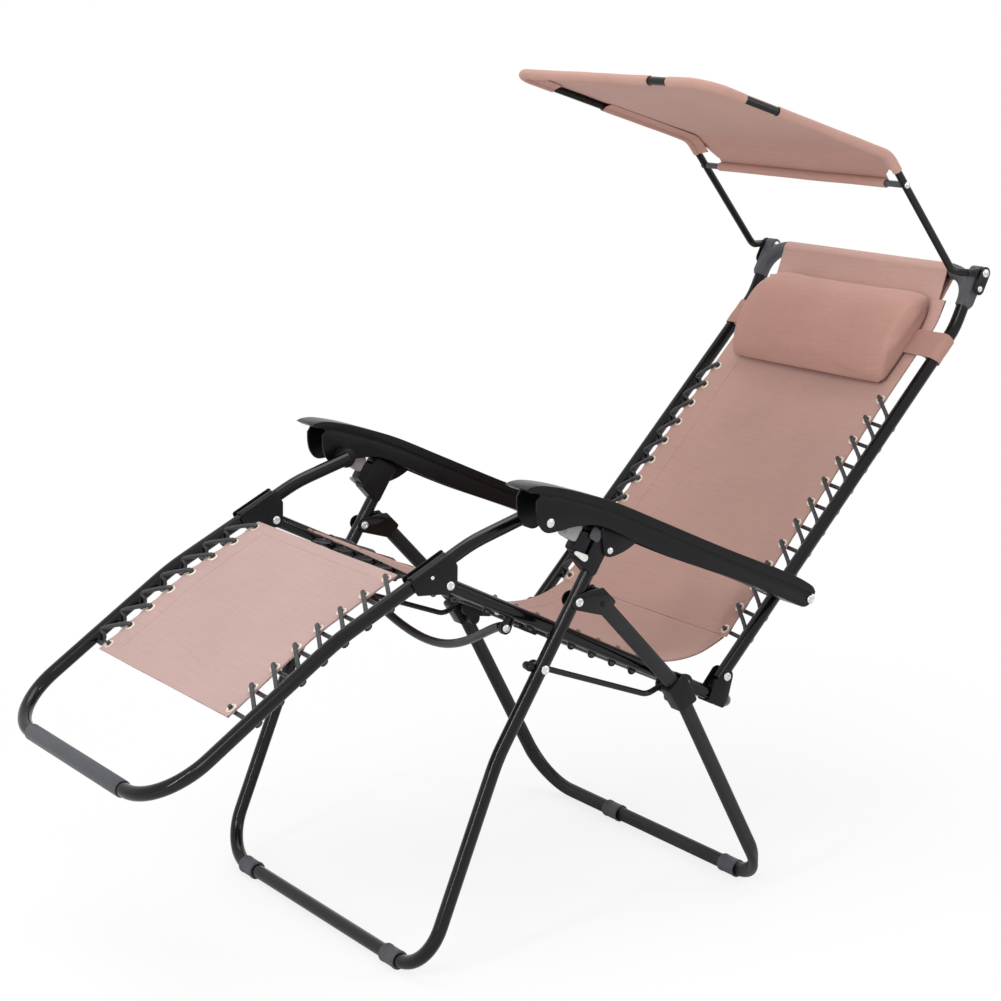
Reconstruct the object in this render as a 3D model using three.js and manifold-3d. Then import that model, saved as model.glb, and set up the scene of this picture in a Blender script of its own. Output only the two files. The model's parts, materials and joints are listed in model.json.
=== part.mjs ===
// Reclining sun lounger with a folding canopy: crossed U-shaped legs, a laced fabric sling,
// moulded armrests, a head pillow and a swinging sun canopy.
// Millimetres, +Z up. The feet point to -X, the head to +X, and the left side is -Y.
import * as THREE from "three";
import { mergeVertices } from "three/addons/utils/BufferGeometryUtils.js";
import Module from "manifold-3d";

const wasm = await Module();
wasm.setup();

// Stock sizes
const frameTube = 22;
const rearLegDepth = 25;
const rearLegWidth = 16;
const linkRod = 10;
const crossTube = 14;
const canopyTube = 13;
const bracketWall = 2.5;
const bracketRadius = 13;
const bracketSocket = 31;
const footWall = 4;
const footLength = 40;
const clothThickness = 2;
const cordThickness = 5;
const gap = 0.35;

// Fasteners
const rivetShaft = 8;
const rivetHead = 14;
const rivetHeadHeight = 2.6;
const rivetPlay = 0.97;

// Widths, from the centre plane
const railHalf = 265;
const legSpread = 50;
const armrestClear = 22;
const armrestWidth = 56;

// Front leg, from the pivot where the legs cross
const apexForward = 134;
const apexHeight = 552;
const frontLegTilt = 57.7;
const frontLegRise = 72;
const frontLegDrop = 265;
const frontFootTilt = 67.3;
const frontCornerRadius = 75;
const frontBendRadius = 250;
const linkPinDrop = 114;

// Rear leg, from the same pivot
const rearLegTilt = 47.1;
const rearLegSetback = 22;
const rearLegOffset = 30;
const rearLegRun = 241;
const rearFootTilt = 62.3;
const rearCornerRadius = 80;
const rearBendRadius = 60;

// Feet, from the legs' centre lines inward
const frontFootIn = 90;
const rearFootLeftIn = 90;
const rearFootRightIn = 215;

// Sliding sleeve on the rear leg
const sleeveWall = 4.2;
const sleeveAbove = 18;
const sleeveBelow = 34;
const sleeveHalfWidth = 14;
const earThickness = 6;
const earRadius = 15;
const rodPinRise = 7;
const rodEyeRadius = 9;
const blockRun = 26;
const blockRadius = 10;
const rodKickBack = 42;
const rodKickDrop = 14;
const rodKickRadius = 30;

// Seat frame, from the knee pivot
const kneeForward = 333;
const kneeHeight = 596.5;
const seatTilt = 26.9;
const seatFront = 9;
const seatRun = 629;
const seatCornerRadius = 45;
const seatPivotRun = 497;
const backPivotRun = 578.5;
const backPivotRise = 35.6;
const hingeCollar = 48;
const crossTubeRun = 135;
const crossTubeDrop = 27;
const crossTubeSag = 92;
const crossTubeBack = 25;
const crossTabRadius = 10;
const crossTabThickness = 4;
const crossEyeThickness = 5;

// Back frame, from the back pivot
const backTilt = 46.4;
const backRun = 726;
const backTopTilt = 64;
const backTopRun = 100;
const backCornerRadius = 50;
const backBendRadius = 120;
const backHeel = 9;
const armPivotRun = 172.6;

// Leg rest, from the knee pivot
const kneeDrop = 30;
const kneeAlong = 67.5;
const kneeCollarFront = 52;
const kneeCollarBack = 22;
const restTopTilt = 16;
const restTopRun = 103;
const restMidTilt = 26.1;
const restMidRun = 262;
const restFootTilt = 33.6;
const restFootRun = 351;
const restCornerRadius = 100;
const restTopBendRadius = 250;
const restFootBendRadius = 400;
const hubRadius = 17;
const footSleeveIn = 105;
const footSleeveWall = 1.6;

// Armrest, along the line from its front pivot to its rear pivot
const armDepth = 58;
const armWall = 4;
const armRivetHead = 8;
const armRivetHeight = 2.5;
const channelShares = [[-0.105, 0.5], [-0.05, 0.72], [0.05, 0.86], [0.19, 0.9], [0.36, 0.79], [0.62, 0.59], [0.66, 0.5]];
const armTopShares = [
  [-0.154, 0.57], [-0.136, 0.68], [-0.08, 0.84], [-0.007, 0.95], [0.07, 0.98],
  [0.184, 1], [0.366, 0.88], [0.623, 0.69], [0.92, 0.55], [1.05, 0.36], [1.067, 0.29],
];
const armUnderShares = [
  [1.06, -0.05], [0.983, -0.24], [0.775, -0.09], [0.654, -0.035], [0.48, 0.02],
  [0.297, 0.155], [0.149, 0.33], [0.024, -0.05], [-0.017, -0.26], [-0.063, -0.31],
  [-0.104, -0.22], [-0.136, 0.31],
];

// Lock under each armrest, from the crossing pivot up along the front leg
const housingLow = 44;
const housingHigh = 116;
const housingBack = 8;
const housingForward = 32;
const housingCorner = 8;
const housingWall = 2.4;
const plateRise = 110;
const plateBack = 8;
const plateRadius = 37;
const plateTrim = 42;
const plateThickness = 3;
const leverRise = 62;
const leverForward = 30;
const leverLength = 18;
const leverThickness = 5;
const leverRadius = 7;

// Canopy, from its pivot at the top of the back
const canopyPivotBack = 5;
const canopyPivotRise = 4;
const canopyPlateDrop = 29;
const canopyPlateTilt = 63;
const canopyPlateRadius = 11;
const canopyPlateThickness = 3.5;
const canopyIn = 3;
const canopyEyeRadius = 8;
const canopyEyeThickness = 5;
const canopyEyeReach = 22;
const canopyTangReach = 30;
const canopyStubTilt = 4;
const canopyStubRun = 54;
const canopyKickTilt = 52.8;
const canopyKickRun = 256;
const canopyBarRun = 192;
const canopyTopTilt = 15.4;
const canopyTopRun = 407;
const canopyCornerRadius = 45;
const canopyBendRadius = 45;
const canopyStubBendRadius = 25;
const canopyBarTube = 11;
const canopyBarPin = 6;
const canopyClothRear = 18;
const canopyClothDrop = 7.5;
const canopyFlapIn = 44;

// Connectors at the top corners of the back
const connectorWall = 2.3;
const connectorSide = 58;
const connectorArm = 47;
const connectorBlockInner = 9;
const connectorBlockDrop = 50;

// Fabric, its edges told inward from the rails' centre lines
const backClothIn = 35;
const backClothStart = 62;
const backClothRise = 7;
const backClothSag = 14;
const headerIn = 52;
const headerWall = 2.2;
const headerDepth = 55;
const seatClothIn = 39;
const seatClothStart = 48;
const seatClothFlat = 440;
const seatClothRise = 16;
const seatClothSag = 10;
const seatCurveRun = 524;
const seatCurveRise = 44;
const seatClothEnd = 556;
const seatClothEndRise = 69;
const legClothIn = 48.5;
const legClothStart = 112;
const legClothFootRun = 180;
const legClothRise = 2;
const legClothSag = 8;

// Grommets and lacing
const grommetHole = 7.6;
const grommetInset = 12;
const grommetPitch = 44;
const backGrommets = 12;
const backGrommetStart = 74;
const legGrommets = 8;
const legGrommetStart = 124;
const legGrommetPitch = 43.5;
const seatGrommets = 9;
const seatGrommetStart = 88;
const lacingReach = 16.4;
const lacingPass = 6;
const wrapStartShare = 0.5;
const wrapEndShare = 0.75;
const wrapHalfAngle = 100;

// Pillow
const pillowIn = 65;
const pillowStart = 592;
const pillowLength = 186;
const pillowDepth = 60;
const pillowSeat = 3;
const strapStart = 655;
const strapWidth = 50;
const strapThickness = 2;
const strapGap = 0.6;

const pillowDrawShare = 0.12;
const pillowEndShare = 0.14;
const crossTubeBowShare = 0.8;

// Outlines in shares of the pillow's length and depth
const pillowShares = [
  [0, 0.06], [0.03, 0.28], [0.14, 0.56], [0.3, 0.82], [0.48, 0.97], [0.64, 1],
  [0.79, 0.9], [0.91, 0.66], [0.98, 0.34], [1, 0.08], [0.8, 0], [0.5, 0], [0.2, 0],
];

// Counts
const crossTubeSteps = 8;
const clothRows = 6;
const tubeSides = 12;
const smallSides = 8;
const rivetSides = 8;
const cordSides = 5;
const wrapSteps = 4;
const bendStep = 30;
const clothColumns = 6;
const pillowRings = 12;

const sides = [["left", -1], ["right", 1]];

// Finishes
function finish(color, roughness, metalness) {
  return new THREE.MeshStandardMaterial({ color, roughness, metalness });
}
const finishes = {
  paint: finish(0x14151a, 0.28, 0.1),
  satin: finish(0x2c2d30, 0.5, 0.1),
  plastic: finish(0x1b1d20, 0.45, 0),
  greyPlastic: finish(0x4a4c50, 0.5, 0),
  lever: finish(0xb9bbbd, 0.4, 0),
  rivet: finish(0xd4d8d6, 0.25, 0.9),
  cloth: finish(0xb08373, 0.85, 0),
  cord: finish(0x18181a, 0.7, 0),
};

// Side view helpers: a place in the side plane is a Vector2 of X and Z

function radians(degrees) {
  return THREE.MathUtils.degToRad(degrees);
}

function heading(degrees) {
  return new THREE.Vector2(Math.cos(radians(degrees)), Math.sin(radians(degrees)));
}

// A straight reference line in the side plane, with places told along it and to its left.
class Line {
  constructor(origin, degrees) {
    this.origin = origin.clone();
    this.along = heading(degrees);
    this.across = new THREE.Vector2(-this.along.y, this.along.x);
  }

  at(run, rise = 0) {
    return this.origin.clone().addScaledVector(this.along, run).addScaledVector(this.across, rise);
  }

  // Places an extruded outline of Y and rise so that its depth runs along the line.
  frame(run) {
    const start = this.at(run);
    const x = new THREE.Vector3(0, 1, 0);
    const y = new THREE.Vector3(this.across.x, 0, this.across.y);
    const z = new THREE.Vector3(this.along.x, 0, this.along.y);
    return new THREE.Matrix4().makeBasis(x, y, z).setPosition(start.x, 0, start.y);
  }
}

function inSpace(place, y) {
  return new THREE.Vector3(place.x, y, place.y);
}

// Solids

function solid(geometry) {
  const bare = geometry.clone();
  bare.deleteAttribute("normal");
  bare.deleteAttribute("uv");
  const merged = mergeVertices(bare);
  return new wasm.Manifold(new wasm.Mesh({
    numProp: 3,
    vertProperties: merged.attributes.position.array,
    triVerts: new Uint32Array(merged.index.array),
  }));
}

function geometryOf(body) {
  const mesh = body.getMesh();
  const geometry = new THREE.BufferGeometry();
  geometry.setAttribute("position", new THREE.BufferAttribute(mesh.vertProperties, 3));
  geometry.setIndex(new THREE.BufferAttribute(mesh.triVerts, 1));
  geometry.computeVertexNormals();
  return geometry;
}

function join(geometries) {
  return geometryOf(geometries.map(solid).reduce((whole, piece) => whole.add(piece)));
}

function cut(geometry, tools) {
  return geometryOf(tools.map(solid).reduce((whole, piece) => whole.subtract(piece), solid(geometry)));
}

// A curve told as stations, so that each ring of a swept tube sits where it is needed.
class StationPath extends THREE.Curve {
  constructor(stations) {
    super();
    this.stations = stations;
  }

  station(share) {
    return this.stations[Math.round(share * (this.stations.length - 1))];
  }

  getPointAt(share, target = new THREE.Vector3()) {
    return target.copy(this.station(share).point);
  }

  getTangentAt(share, target = new THREE.Vector3()) {
    return target.copy(this.station(share).tangent);
  }
}

// Stations of a path of straight runs whose corners are rounded to the given radii.
function roundedPath(points, radii) {
  const stations = [];
  const push = (point, tangent) => stations.push({ point, tangent: tangent.clone().normalize() });
  for (let i = 0; i < points.length; i += 1) {
    const before = points[i - 1] ? points[i].clone().sub(points[i - 1]).normalize() : null;
    const after = points[i + 1] ? points[i + 1].clone().sub(points[i]).normalize() : null;
    if (!before || !after) {
      push(points[i], before ?? after);
      continue;
    }
    const turn = before.angleTo(after);
    const trim = radii[i] * Math.tan(turn / 2);
    const axis = before.clone().cross(after).normalize();
    const start = points[i].clone().addScaledVector(before, -trim);
    const centre = start.clone().addScaledVector(axis.clone().cross(before), radii[i]);
    const steps = Math.max(2, Math.ceil(turn / radians(bendStep)));
    for (let k = 0; k <= steps; k += 1) {
      const swing = turn * k / steps;
      const arm = start.clone().sub(centre).applyAxisAngle(axis, swing);
      push(centre.clone().add(arm), before.clone().applyAxisAngle(axis, swing));
    }
  }
  return stations;
}

function roundSection(radius, count = tubeSides) {
  const shape = new THREE.Shape();
  for (let i = 0; i < count; i += 1) {
    const angle = 2 * Math.PI * (i + 0.5) / count;
    shape[i ? "lineTo" : "moveTo"](radius * Math.cos(angle), radius * Math.sin(angle));
  }
  return shape.closePath();
}

// A flat oval: straight sides with half-round ends, its width first.
function ovalSection(width, depth, count = tubeSides) {
  const shape = new THREE.Shape();
  const half = (depth - width) / 2;
  for (let i = 0; i <= count; i += 1) {
    const upper = i <= count / 2;
    const angle = 2 * Math.PI * i / count;
    const x = width / 2 * Math.cos(angle);
    const y = width / 2 * Math.sin(angle) + (upper ? half : -half);
    shape[i ? "lineTo" : "moveTo"](x, y);
  }
  shape.lineTo(width / 2, -half);
  return shape;
}

function sweep(shape, stations) {
  const extrudePath = new StationPath(stations);
  return new THREE.ExtrudeGeometry(shape, { steps: stations.length - 1, extrudePath });
}

// The whole path of a U-shaped frame: one side's places, then the same places mirrored.
function uPath(places, half, radii) {
  const near = places.map((place) => inSpace(place, -half));
  const far = places.map((place) => inSpace(place, half)).reverse();
  return roundedPath([...near, ...far], [...radii, ...[...radii].reverse()]);
}

// Extrudes an outline of the side plane from one Y to another.
function slab(shape, from, to) {
  const low = Math.min(from, to);
  const high = Math.max(from, to);
  return new THREE.ExtrudeGeometry(shape, { depth: high - low, bevelEnabled: false, curveSegments: 1 })
    .rotateX(Math.PI / 2).translate(0, high, 0);
}

function outline(places) {
  return new THREE.Shape(places.map((place) => place.clone()));
}

// The convex outline round a set of discs.
function around(discs) {
  const places = discs.flatMap(([centre, radius]) => Array.from({ length: tubeSides }, (_, i) => {
    const angle = 2 * Math.PI * i / tubeSides;
    return new THREE.Vector2(centre.x + radius * Math.cos(angle), centre.y + radius * Math.sin(angle));
  }));
  places.sort((a, b) => a.x - b.x || a.y - b.y);
  const half = (ordered) => ordered.reduce((chain, place) => {
    const turns = (a, b) => (b.x - a.x) * (place.y - a.y) - (b.y - a.y) * (place.x - a.x);
    while (chain.length > 1 && turns(chain.at(-2), chain.at(-1)) <= 0) chain.pop();
    chain.push(place);
    return chain;
  }, []);
  const lower = half(places);
  const upper = half([...places].reverse());
  return outline([...lower.slice(0, -1), ...upper.slice(0, -1)]);
}

// The strip between two offsets of a line of places, offsets told to the left of the line.
function strip(places, low, high) {
  const shifted = (distance) => places.map((place, i) => {
    const before = i ? place.clone().sub(places[i - 1]).normalize() : null;
    const after = i < places.length - 1 ? places[i + 1].clone().sub(place).normalize() : null;
    const mean = (before ?? after).clone().add(after ?? before).normalize();
    const stretch = 1 / mean.dot(after ?? before);
    return new THREE.Vector2(-mean.y, mean.x).multiplyScalar(distance * stretch).add(place);
  });
  return outline([...shifted(low), ...shifted(high).reverse()]);
}

// A round bar along Y.
function crossBar(place, radius, from, to) {
  return slab(around([[place, radius]]), from, to);
}

// A rivet along Y through everything between its two heads, with a collar where pieces stand apart.
function rivet(place, from, to, side, collar = null) {
  const head = rivetHead / 2;
  const shaft = rivetShaft / 2;
  const dome = head * 0.6;
  const profile = [
    [0, from - rivetHeadHeight], [dome, from - rivetHeadHeight], [head, from - rivetHeadHeight / 2],
    [head, from], [shaft, from],
    ...(collar ? [[shaft, collar[0]], [collar[2], collar[0]], [collar[2], collar[1]], [shaft, collar[1]]] : []),
    [shaft, to], [head, to], [head, to + rivetHeadHeight / 2], [dome, to + rivetHeadHeight],
    [0, to + rivetHeadHeight],
  ].map(([radius, y]) => new THREE.Vector2(radius, y));
  const geometry = new THREE.LatheGeometry(profile, rivetSides);
  if (side < 0) geometry.rotateX(Math.PI);
  return outward(geometry.translate(place.x, 0, place.y));
}

// A hole whose flats, not its corners, keep the rivet's play.
function rivetHole(place, from, to) {
  const radius = (rivetShaft / 2 + rivetPlay) / Math.cos(Math.PI / tubeSides);
  return slab(around([[place, radius]]), from, to);
}

// A cloth panel that follows a side line, its middle sagging most halfway along.
function clothPanel(places, halfWidth, sag, thickness = clothThickness) {
  const rows = places.map((place, i) => {
    const before = places[Math.max(i - 1, 0)];
    const after = places[Math.min(i + 1, places.length - 1)];
    const along = after.clone().sub(before).normalize();
    const dipHere = sag * Math.sin(Math.PI * i / (places.length - 1));
    return { place, across: new THREE.Vector2(-along.y, along.x), dipHere };
  });
  const layer = (offset) => rows.flatMap(({ place, across, dipHere }) => (
    Array.from({ length: clothColumns + 1 }, (_, j) => {
      const share = 2 * j / clothColumns - 1;
      const dip = offset - dipHere * (1 - share * share);
      return inSpace(place.clone().addScaledVector(across, dip), halfWidth * share);
    })));
  const points = [...layer(thickness / 2), ...layer(-thickness / 2)];
  const stride = clothColumns + 1;
  const lower = rows.length * stride;
  const faces = [];
  const quad = (a, b, c, d) => faces.push(a, b, c, a, c, d);
  for (let i = 0; i < rows.length - 1; i += 1) {
    for (let j = 0; j < clothColumns; j += 1) {
      const a = i * stride + j;
      quad(a, a + stride, a + stride + 1, a + 1);
      quad(lower + a, lower + a + 1, lower + a + stride + 1, lower + a + stride);
    }
    const start = i * stride;
    const end = start + clothColumns;
    quad(start, lower + start, lower + start + stride, start + stride);
    quad(end, end + stride, lower + end + stride, lower + end);
  }
  const last = (rows.length - 1) * stride;
  for (let j = 0; j < clothColumns; j += 1) {
    quad(j, j + 1, lower + j + 1, lower + j);
    quad(last + j, lower + last + j, lower + last + j + 1, last + j + 1);
  }
  const geometry = new THREE.BufferGeometry().setFromPoints(points);
  geometry.setIndex(faces);
  return outward(geometry);
}

// Turns a closed geometry's faces outward.
function outward(geometry) {
  const position = geometry.attributes.position;
  const index = geometry.index.array;
  const [a, b, c] = [new THREE.Vector3(), new THREE.Vector3(), new THREE.Vector3()];
  let volume = 0;
  for (let i = 0; i < index.length; i += 3) {
    a.fromBufferAttribute(position, index[i]);
    b.fromBufferAttribute(position, index[i + 1]);
    c.fromBufferAttribute(position, index[i + 2]);
    volume += a.dot(b.cross(c));
  }
  if (volume < 0) {
    for (let i = 0; i < index.length; i += 3) {
      [index[i], index[i + 1]] = [index[i + 1], index[i]];
    }
  }
  geometry.computeVertexNormals();
  return geometry;
}

// Places of the linkage

const frontFootHeight = frameTube / 2 + footWall;
const apex = new THREE.Vector2(-apexForward, apexHeight);
const frontLegLine = new Line(apex, frontLegTilt);
const frontBend = frontLegLine.at(-frontLegDrop);
const frontFootLine = new Line(frontBend, 180 + frontFootTilt);
const frontFoot = frontFootLine.at((frontBend.y - frontFootHeight) / Math.sin(radians(frontFootTilt)));

const rearFromApex = new Line(apex, -rearLegTilt);
const rearTop = rearFromApex.at(rearLegSetback, rearLegOffset);
const rearLine = new Line(rearTop, -rearLegTilt);
const rearBend = rearLine.at(rearLegRun);
const rearFootLine = new Line(rearBend, -rearFootTilt);
const rearFoot = rearFootLine.at((rearBend.y - frontFootHeight) / Math.sin(radians(rearFootTilt)));

const knee = new THREE.Vector2(-kneeForward, kneeHeight);
const seatLine = new Line(knee, -seatTilt);
const seatPivot = seatLine.at(seatPivotRun);
const backPivot = seatLine.at(backPivotRun, backPivotRise);
const backLine = new Line(backPivot, backTilt);
const backBend = backLine.at(backRun);
const backTopLine = new Line(backBend, backTopTilt);
const backTop = backTopLine.at(backTopRun);
const armPivot = backLine.at(armPivotRun);

const restMidLine = new Line(new Line(knee, 180 + restMidTilt).at(-kneeAlong, -kneeDrop), 180 + restMidTilt);
const restTopBend = restMidLine.at(0);
const restTop = new Line(restTopBend, restTopTilt).at(restTopRun);
const restFootBend = restMidLine.at(restMidRun);
const restFootLine = new Line(restFootBend, 180 + restFootTilt);
const restFoot = restFootLine.at(restFootRun);

const armSpan = armPivot.distanceTo(restTop);
const armTilt = THREE.MathUtils.radToDeg(Math.atan2(armPivot.y - restTop.y, armPivot.x - restTop.x));
const armLine = new Line(restTop, armTilt);

const linkPin = frontLegLine.at(-linkPinDrop);
const rodPin = rearFootLine.at(-rodPinRise);

const canopyPivot = backTop.clone().add(new THREE.Vector2(canopyPivotBack, canopyPivotRise));
const canopyScrew = new Line(canopyPivot, 180 + canopyPlateTilt).at(canopyPlateDrop);
const canopyStub = new Line(canopyPivot, 180 - canopyStubTilt);
const canopyKick = new Line(canopyStub.at(canopyStubRun), 180 - canopyKickTilt);
const canopyTopLine = new Line(canopyKick.at(canopyKickRun), 180 - canopyTopTilt);
const canopyBarPlace = canopyKick.at(canopyBarRun);
const canopyFront = canopyTopLine.at(canopyTopRun);

// Lanes across the width, each told as a distance from the centre plane
const legHalf = railHalf + legSpread;
const armrestInner = railHalf + armrestClear;
const canopyHalf = railHalf - canopyIn;
const connectorInner = railHalf - connectorArm;
const headerHalf = railHalf - headerIn;
const backClothHalf = railHalf - backClothIn;
const seatClothHalf = railHalf - seatClothIn;
const legClothHalf = railHalf - legClothIn;
const canopyFlapHalf = canopyHalf - canopyFlapIn;
const footSleeveHalf = railHalf - footSleeveIn;
const pillowHalf = railHalf - pillowIn;
const frontFootOut = legHalf - frontFootIn;
const rearFootLeftOut = legHalf - rearFootLeftIn;
const rearFootRightOut = legHalf - rearFootRightIn;
const railInner = railHalf - frameTube / 2;
const railOuter = railHalf + frameTube / 2;
const legInner = legHalf - frameTube / 2;
const legOuter = legHalf + frameTube / 2;
const armrestOuter = armrestInner + armrestWidth;
const sleeveInner = legHalf - sleeveHalfWidth;
const sleeveOuter = legHalf + sleeveHalfWidth;
const earInner = railOuter + 4 * gap;
const earOuter = earInner + earThickness;
const rodHalf = sleeveInner - gap - linkRod / 2;
const bracketInner = frameTube / 2 + 2 * gap;
const bracketOuter = bracketInner + bracketWall;
const connectorOuter = railOuter + connectorWall;
const eyeInner = connectorOuter + gap;
const plateInner = eyeInner + canopyEyeThickness + gap;
const plateOuter = plateInner + canopyPlateThickness;

const crossTab = seatLine.at(crossTubeRun, -crossTubeDrop);
const leverPivot = frontLegLine.at(leverRise, leverForward);

// Paths of the bent tubes

const frontLegPath = uPath([frontLegLine.at(frontLegRise), frontBend, frontFoot], legHalf,
  [0, frontBendRadius, frontCornerRadius]);
const frontLegClearPath = uPath([frontLegLine.at(frontLegRise + 2 * gap), frontBend, frontFoot],
  legHalf, [0, frontBendRadius, frontCornerRadius]);
const rearLegPath = uPath([rearTop, rearBend, rearFoot], legHalf, [0, rearBendRadius, rearCornerRadius]);
const rearLegClearPath = uPath([rearLine.at(-2 * gap), rearBend, rearFoot], legHalf,
  [0, rearBendRadius, rearCornerRadius]);
const seatPath = uPath([seatLine.at(-seatFront), seatLine.at(seatRun)], railHalf, [0, seatCornerRadius]);
const backPath = uPath([backLine.at(-backHeel), backBend, backTop], railHalf,
  [0, backBendRadius, backCornerRadius]);
const restPath = uPath([restTop, restTopBend, restFootBend, restFoot], railHalf,
  [0, restTopBendRadius, restFootBendRadius, restCornerRadius]);

const clearRound = roundSection(frameTube / 2 + gap);
const frontLegClear = sweep(clearRound, frontLegClearPath);
const rearLegClear = sweep(ovalSection(rearLegWidth + 2 * gap, rearLegDepth + 2 * gap), rearLegClearPath);
const seatClear = sweep(clearRound, seatPath);
const backClear = sweep(clearRound, backPath);
const restClear = sweep(clearRound, restPath);

// Legs

function frontLeg() {
  const tools = sides.flatMap(([, side]) => [apex, linkPin].map((place) => (
    rivetHole(place, side * (legInner - frameTube), side * (legOuter + frameTube)))));
  return cut(sweep(roundSection(frameTube / 2), frontLegPath), tools);
}

function rearLeg() {
  return sweep(ovalSection(rearLegWidth, rearLegDepth), rearLegPath);
}

// A plastic sleeve round a floor bar, its lowest facet on the floor.
function footSleeve(place, centre, bore) {
  const radius = frontFootHeight / Math.cos(Math.PI / tubeSides);
  const outer = slab(roundSection(radius), centre - footLength / 2, centre + footLength / 2);
  return cut(outer.translate(place.x, 0, place.y), [bore]);
}

// A forked bracket on the rear leg's top, its cheeks either side of the front leg.
function legBracket(side) {
  const corner = bracketWall;
  const half = rearLegDepth / 2 + gap;
  const rest = [-corner, bracketSocket].flatMap((run) => (
    [-half, half].map((rise) => [rearLine.at(run, rise), corner])));
  const low = side * (legHalf - bracketOuter);
  const high = side * (legHalf + bracketOuter);
  const body = slab(around([[apex, bracketRadius], ...rest]), low, high);
  const slotEnd = -2 * corner;
  const slotSide = -half - corner;
  const reach = 3 * rearLegOffset;
  const slot = slab(outline([
    rearLine.at(-reach, -reach), rearLine.at(reach, -reach), rearLine.at(reach, slotSide),
    rearLine.at(slotEnd, slotSide), rearLine.at(slotEnd, reach), rearLine.at(-reach, reach),
  ]), side * (legHalf - bracketInner), side * (legHalf + bracketInner));
  return cut(body, [slot, rearLegClear, rivetHole(apex, low - frameTube, low + 4 * frameTube),
    rivetHole(apex, high - frameTube, high + frameTube)]);
}

// The sleeve that slides down the rear leg as the frame folds, with an ear for the seat's pivot.
function slideSleeve(side) {
  const half = rearLegDepth / 2 + 2 * gap;
  const shell = slab(around([
    [rearFootLine.at(sleeveBelow - sleeveWall, -half), sleeveWall],
    [rearFootLine.at(sleeveBelow - sleeveWall, half), sleeveWall],
    [rearFootLine.at(sleeveWall - sleeveAbove, half), sleeveWall],
    [rearLine.at(rearLegRun + sleeveWall - sleeveAbove, -half), sleeveWall],
  ]), side * sleeveInner, side * sleeveOuter);
  const ear = slab(around([[rearFootLine.at(0), earRadius], [seatPivot, earRadius]]),
    side * earInner, side * earOuter);
  const block = slab(around([
    [rearFootLine.at(blockRun), blockRadius], [rearFootLine.at(blockRun - gap, blockRadius), blockRadius - gap],
  ]), side * earInner, side * (sleeveInner + sleeveWall));
  const boreHalf = rearLegWidth / 2 + 2 * gap;
  const reach = rearLegRun / 2;
  const bores = [
    [rearLine.at(rearLegRun - reach), rearBend, rearFootLine.at(reach)],
    [rearFootLine.at(-reach), rearFootLine.at(reach)],
  ].map((places) => slab(strip(places, -half, half), side * (legHalf - boreHalf), side * (legHalf + boreHalf)));
  return cut(join([shell, ear, block]), [...bores, rivetHole(seatPivot, side * railInner, side * sleeveOuter)]);
}

// A bent rod that steers the sleeve from the front leg.
function linkRodPiece(side) {
  const kick = rodPin.clone().add(new THREE.Vector2(-rodKickBack, -rodKickDrop));
  const path = roundedPath([linkPin, kick, rodPin].map((place) => inSpace(place, side * rodHalf)),
    [0, rodKickRadius, 0]);
  const eye = (place) => slab(around([[place, rodEyeRadius]]),
    side * (rodHalf - linkRod / 2), side * (rodHalf + linkRod / 2));
  return cut(join([sweep(roundSection(linkRod / 2, smallSides), path), eye(linkPin), eye(rodPin)]),
    [linkPin, rodPin].map((place) => rivetHole(place, side * (rodHalf - linkRod), side * (rodHalf + linkRod))));
}

// Seat frame

function seatFrame() {
  const tabHalf = crossTabThickness / 2;
  const tabs = sides.map(([, side]) => slab(around([
    [crossTab, crossTabRadius], [seatLine.at(crossTubeRun), crossTabRadius - crossTabThickness / 2],
  ]), side * (railHalf - tabHalf), side * (railHalf + tabHalf)));
  const holes = sides.flatMap(([, side]) => [knee, seatPivot, crossTab].map((place) => (
    rivetHole(place, side * (railInner - frameTube), side * (railOuter + frameTube)))));
  return cut(join([sweep(roundSection(frameTube / 2), seatPath), ...tabs]), holes);
}

// The bowed tube that hangs between tabs under the two seat rails, pinned at both ends.
function seatCrossTube() {
  const eyeHalf = railHalf - crossTabThickness / 2 - gap - crossEyeThickness;
  const endHalf = eyeHalf + crossEyeThickness - crossTube / 2;
  const points = Array.from({ length: crossTubeSteps + 1 }, (_, i) => {
    const share = 2 * i / crossTubeSteps - 1;
    const bow = Math.cos(share * Math.PI / 2) ** crossTubeBowShare;
    return new THREE.Vector3(crossTab.x + crossTubeBack * bow, share * endHalf,
      crossTab.y - crossTubeSag * bow);
  });
  const tangent = (i) => points[Math.min(i + 1, crossTubeSteps)].clone().sub(points[Math.max(i - 1, 0)]).normalize();
  const stations = points.map((point, i) => ({ point, tangent: tangent(i) }));
  const ends = sides.flatMap(([, side]) => [
    slab(around([[crossTab, crossTabRadius]]), side * eyeHalf, side * (eyeHalf + crossEyeThickness)),
    slab(around([[crossTab, rivetShaft / 2]]), side * eyeHalf, side * (railHalf + crossTabThickness)),
    slab(around([[crossTab, rivetHead / 2]]), side * (railHalf + crossTabThickness / 2 + gap),
      side * (railHalf + crossTabThickness / 2 + gap + rivetHeadHeight)),
  ]);
  return join([sweep(roundSection(crossTube / 2, smallSides), stations), ...ends]);
}

// A bracket that clamps one tube and forks down, or up, round the tube that turns in it.
function forkBracket(side, line, run, front, back, pivot, toward, clear) {
  const reach = 2 * Math.abs(pivot.clone().sub(line.origin).dot(line.across)) + bracketOuter;
  const low = side * (railHalf - bracketOuter);
  const high = side * (railHalf + bracketOuter);
  const body = slab(around([
    [line.at(run - back), bracketOuter], [line.at(run + front), bracketOuter], [pivot, bracketRadius],
  ]), low, high);
  const slot = slab(outline([
    line.at(run - back - reach, toward * bracketOuter), line.at(run + front + reach, toward * bracketOuter),
    line.at(run + front + reach, toward * reach), line.at(run - back - reach, toward * reach),
  ]), side * (railHalf - bracketInner), side * (railHalf + bracketInner));
  return cut(body, [slot, clear, rivetHole(pivot, side * (railHalf - frameTube), side * (railHalf + frameTube))]);
}

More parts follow.
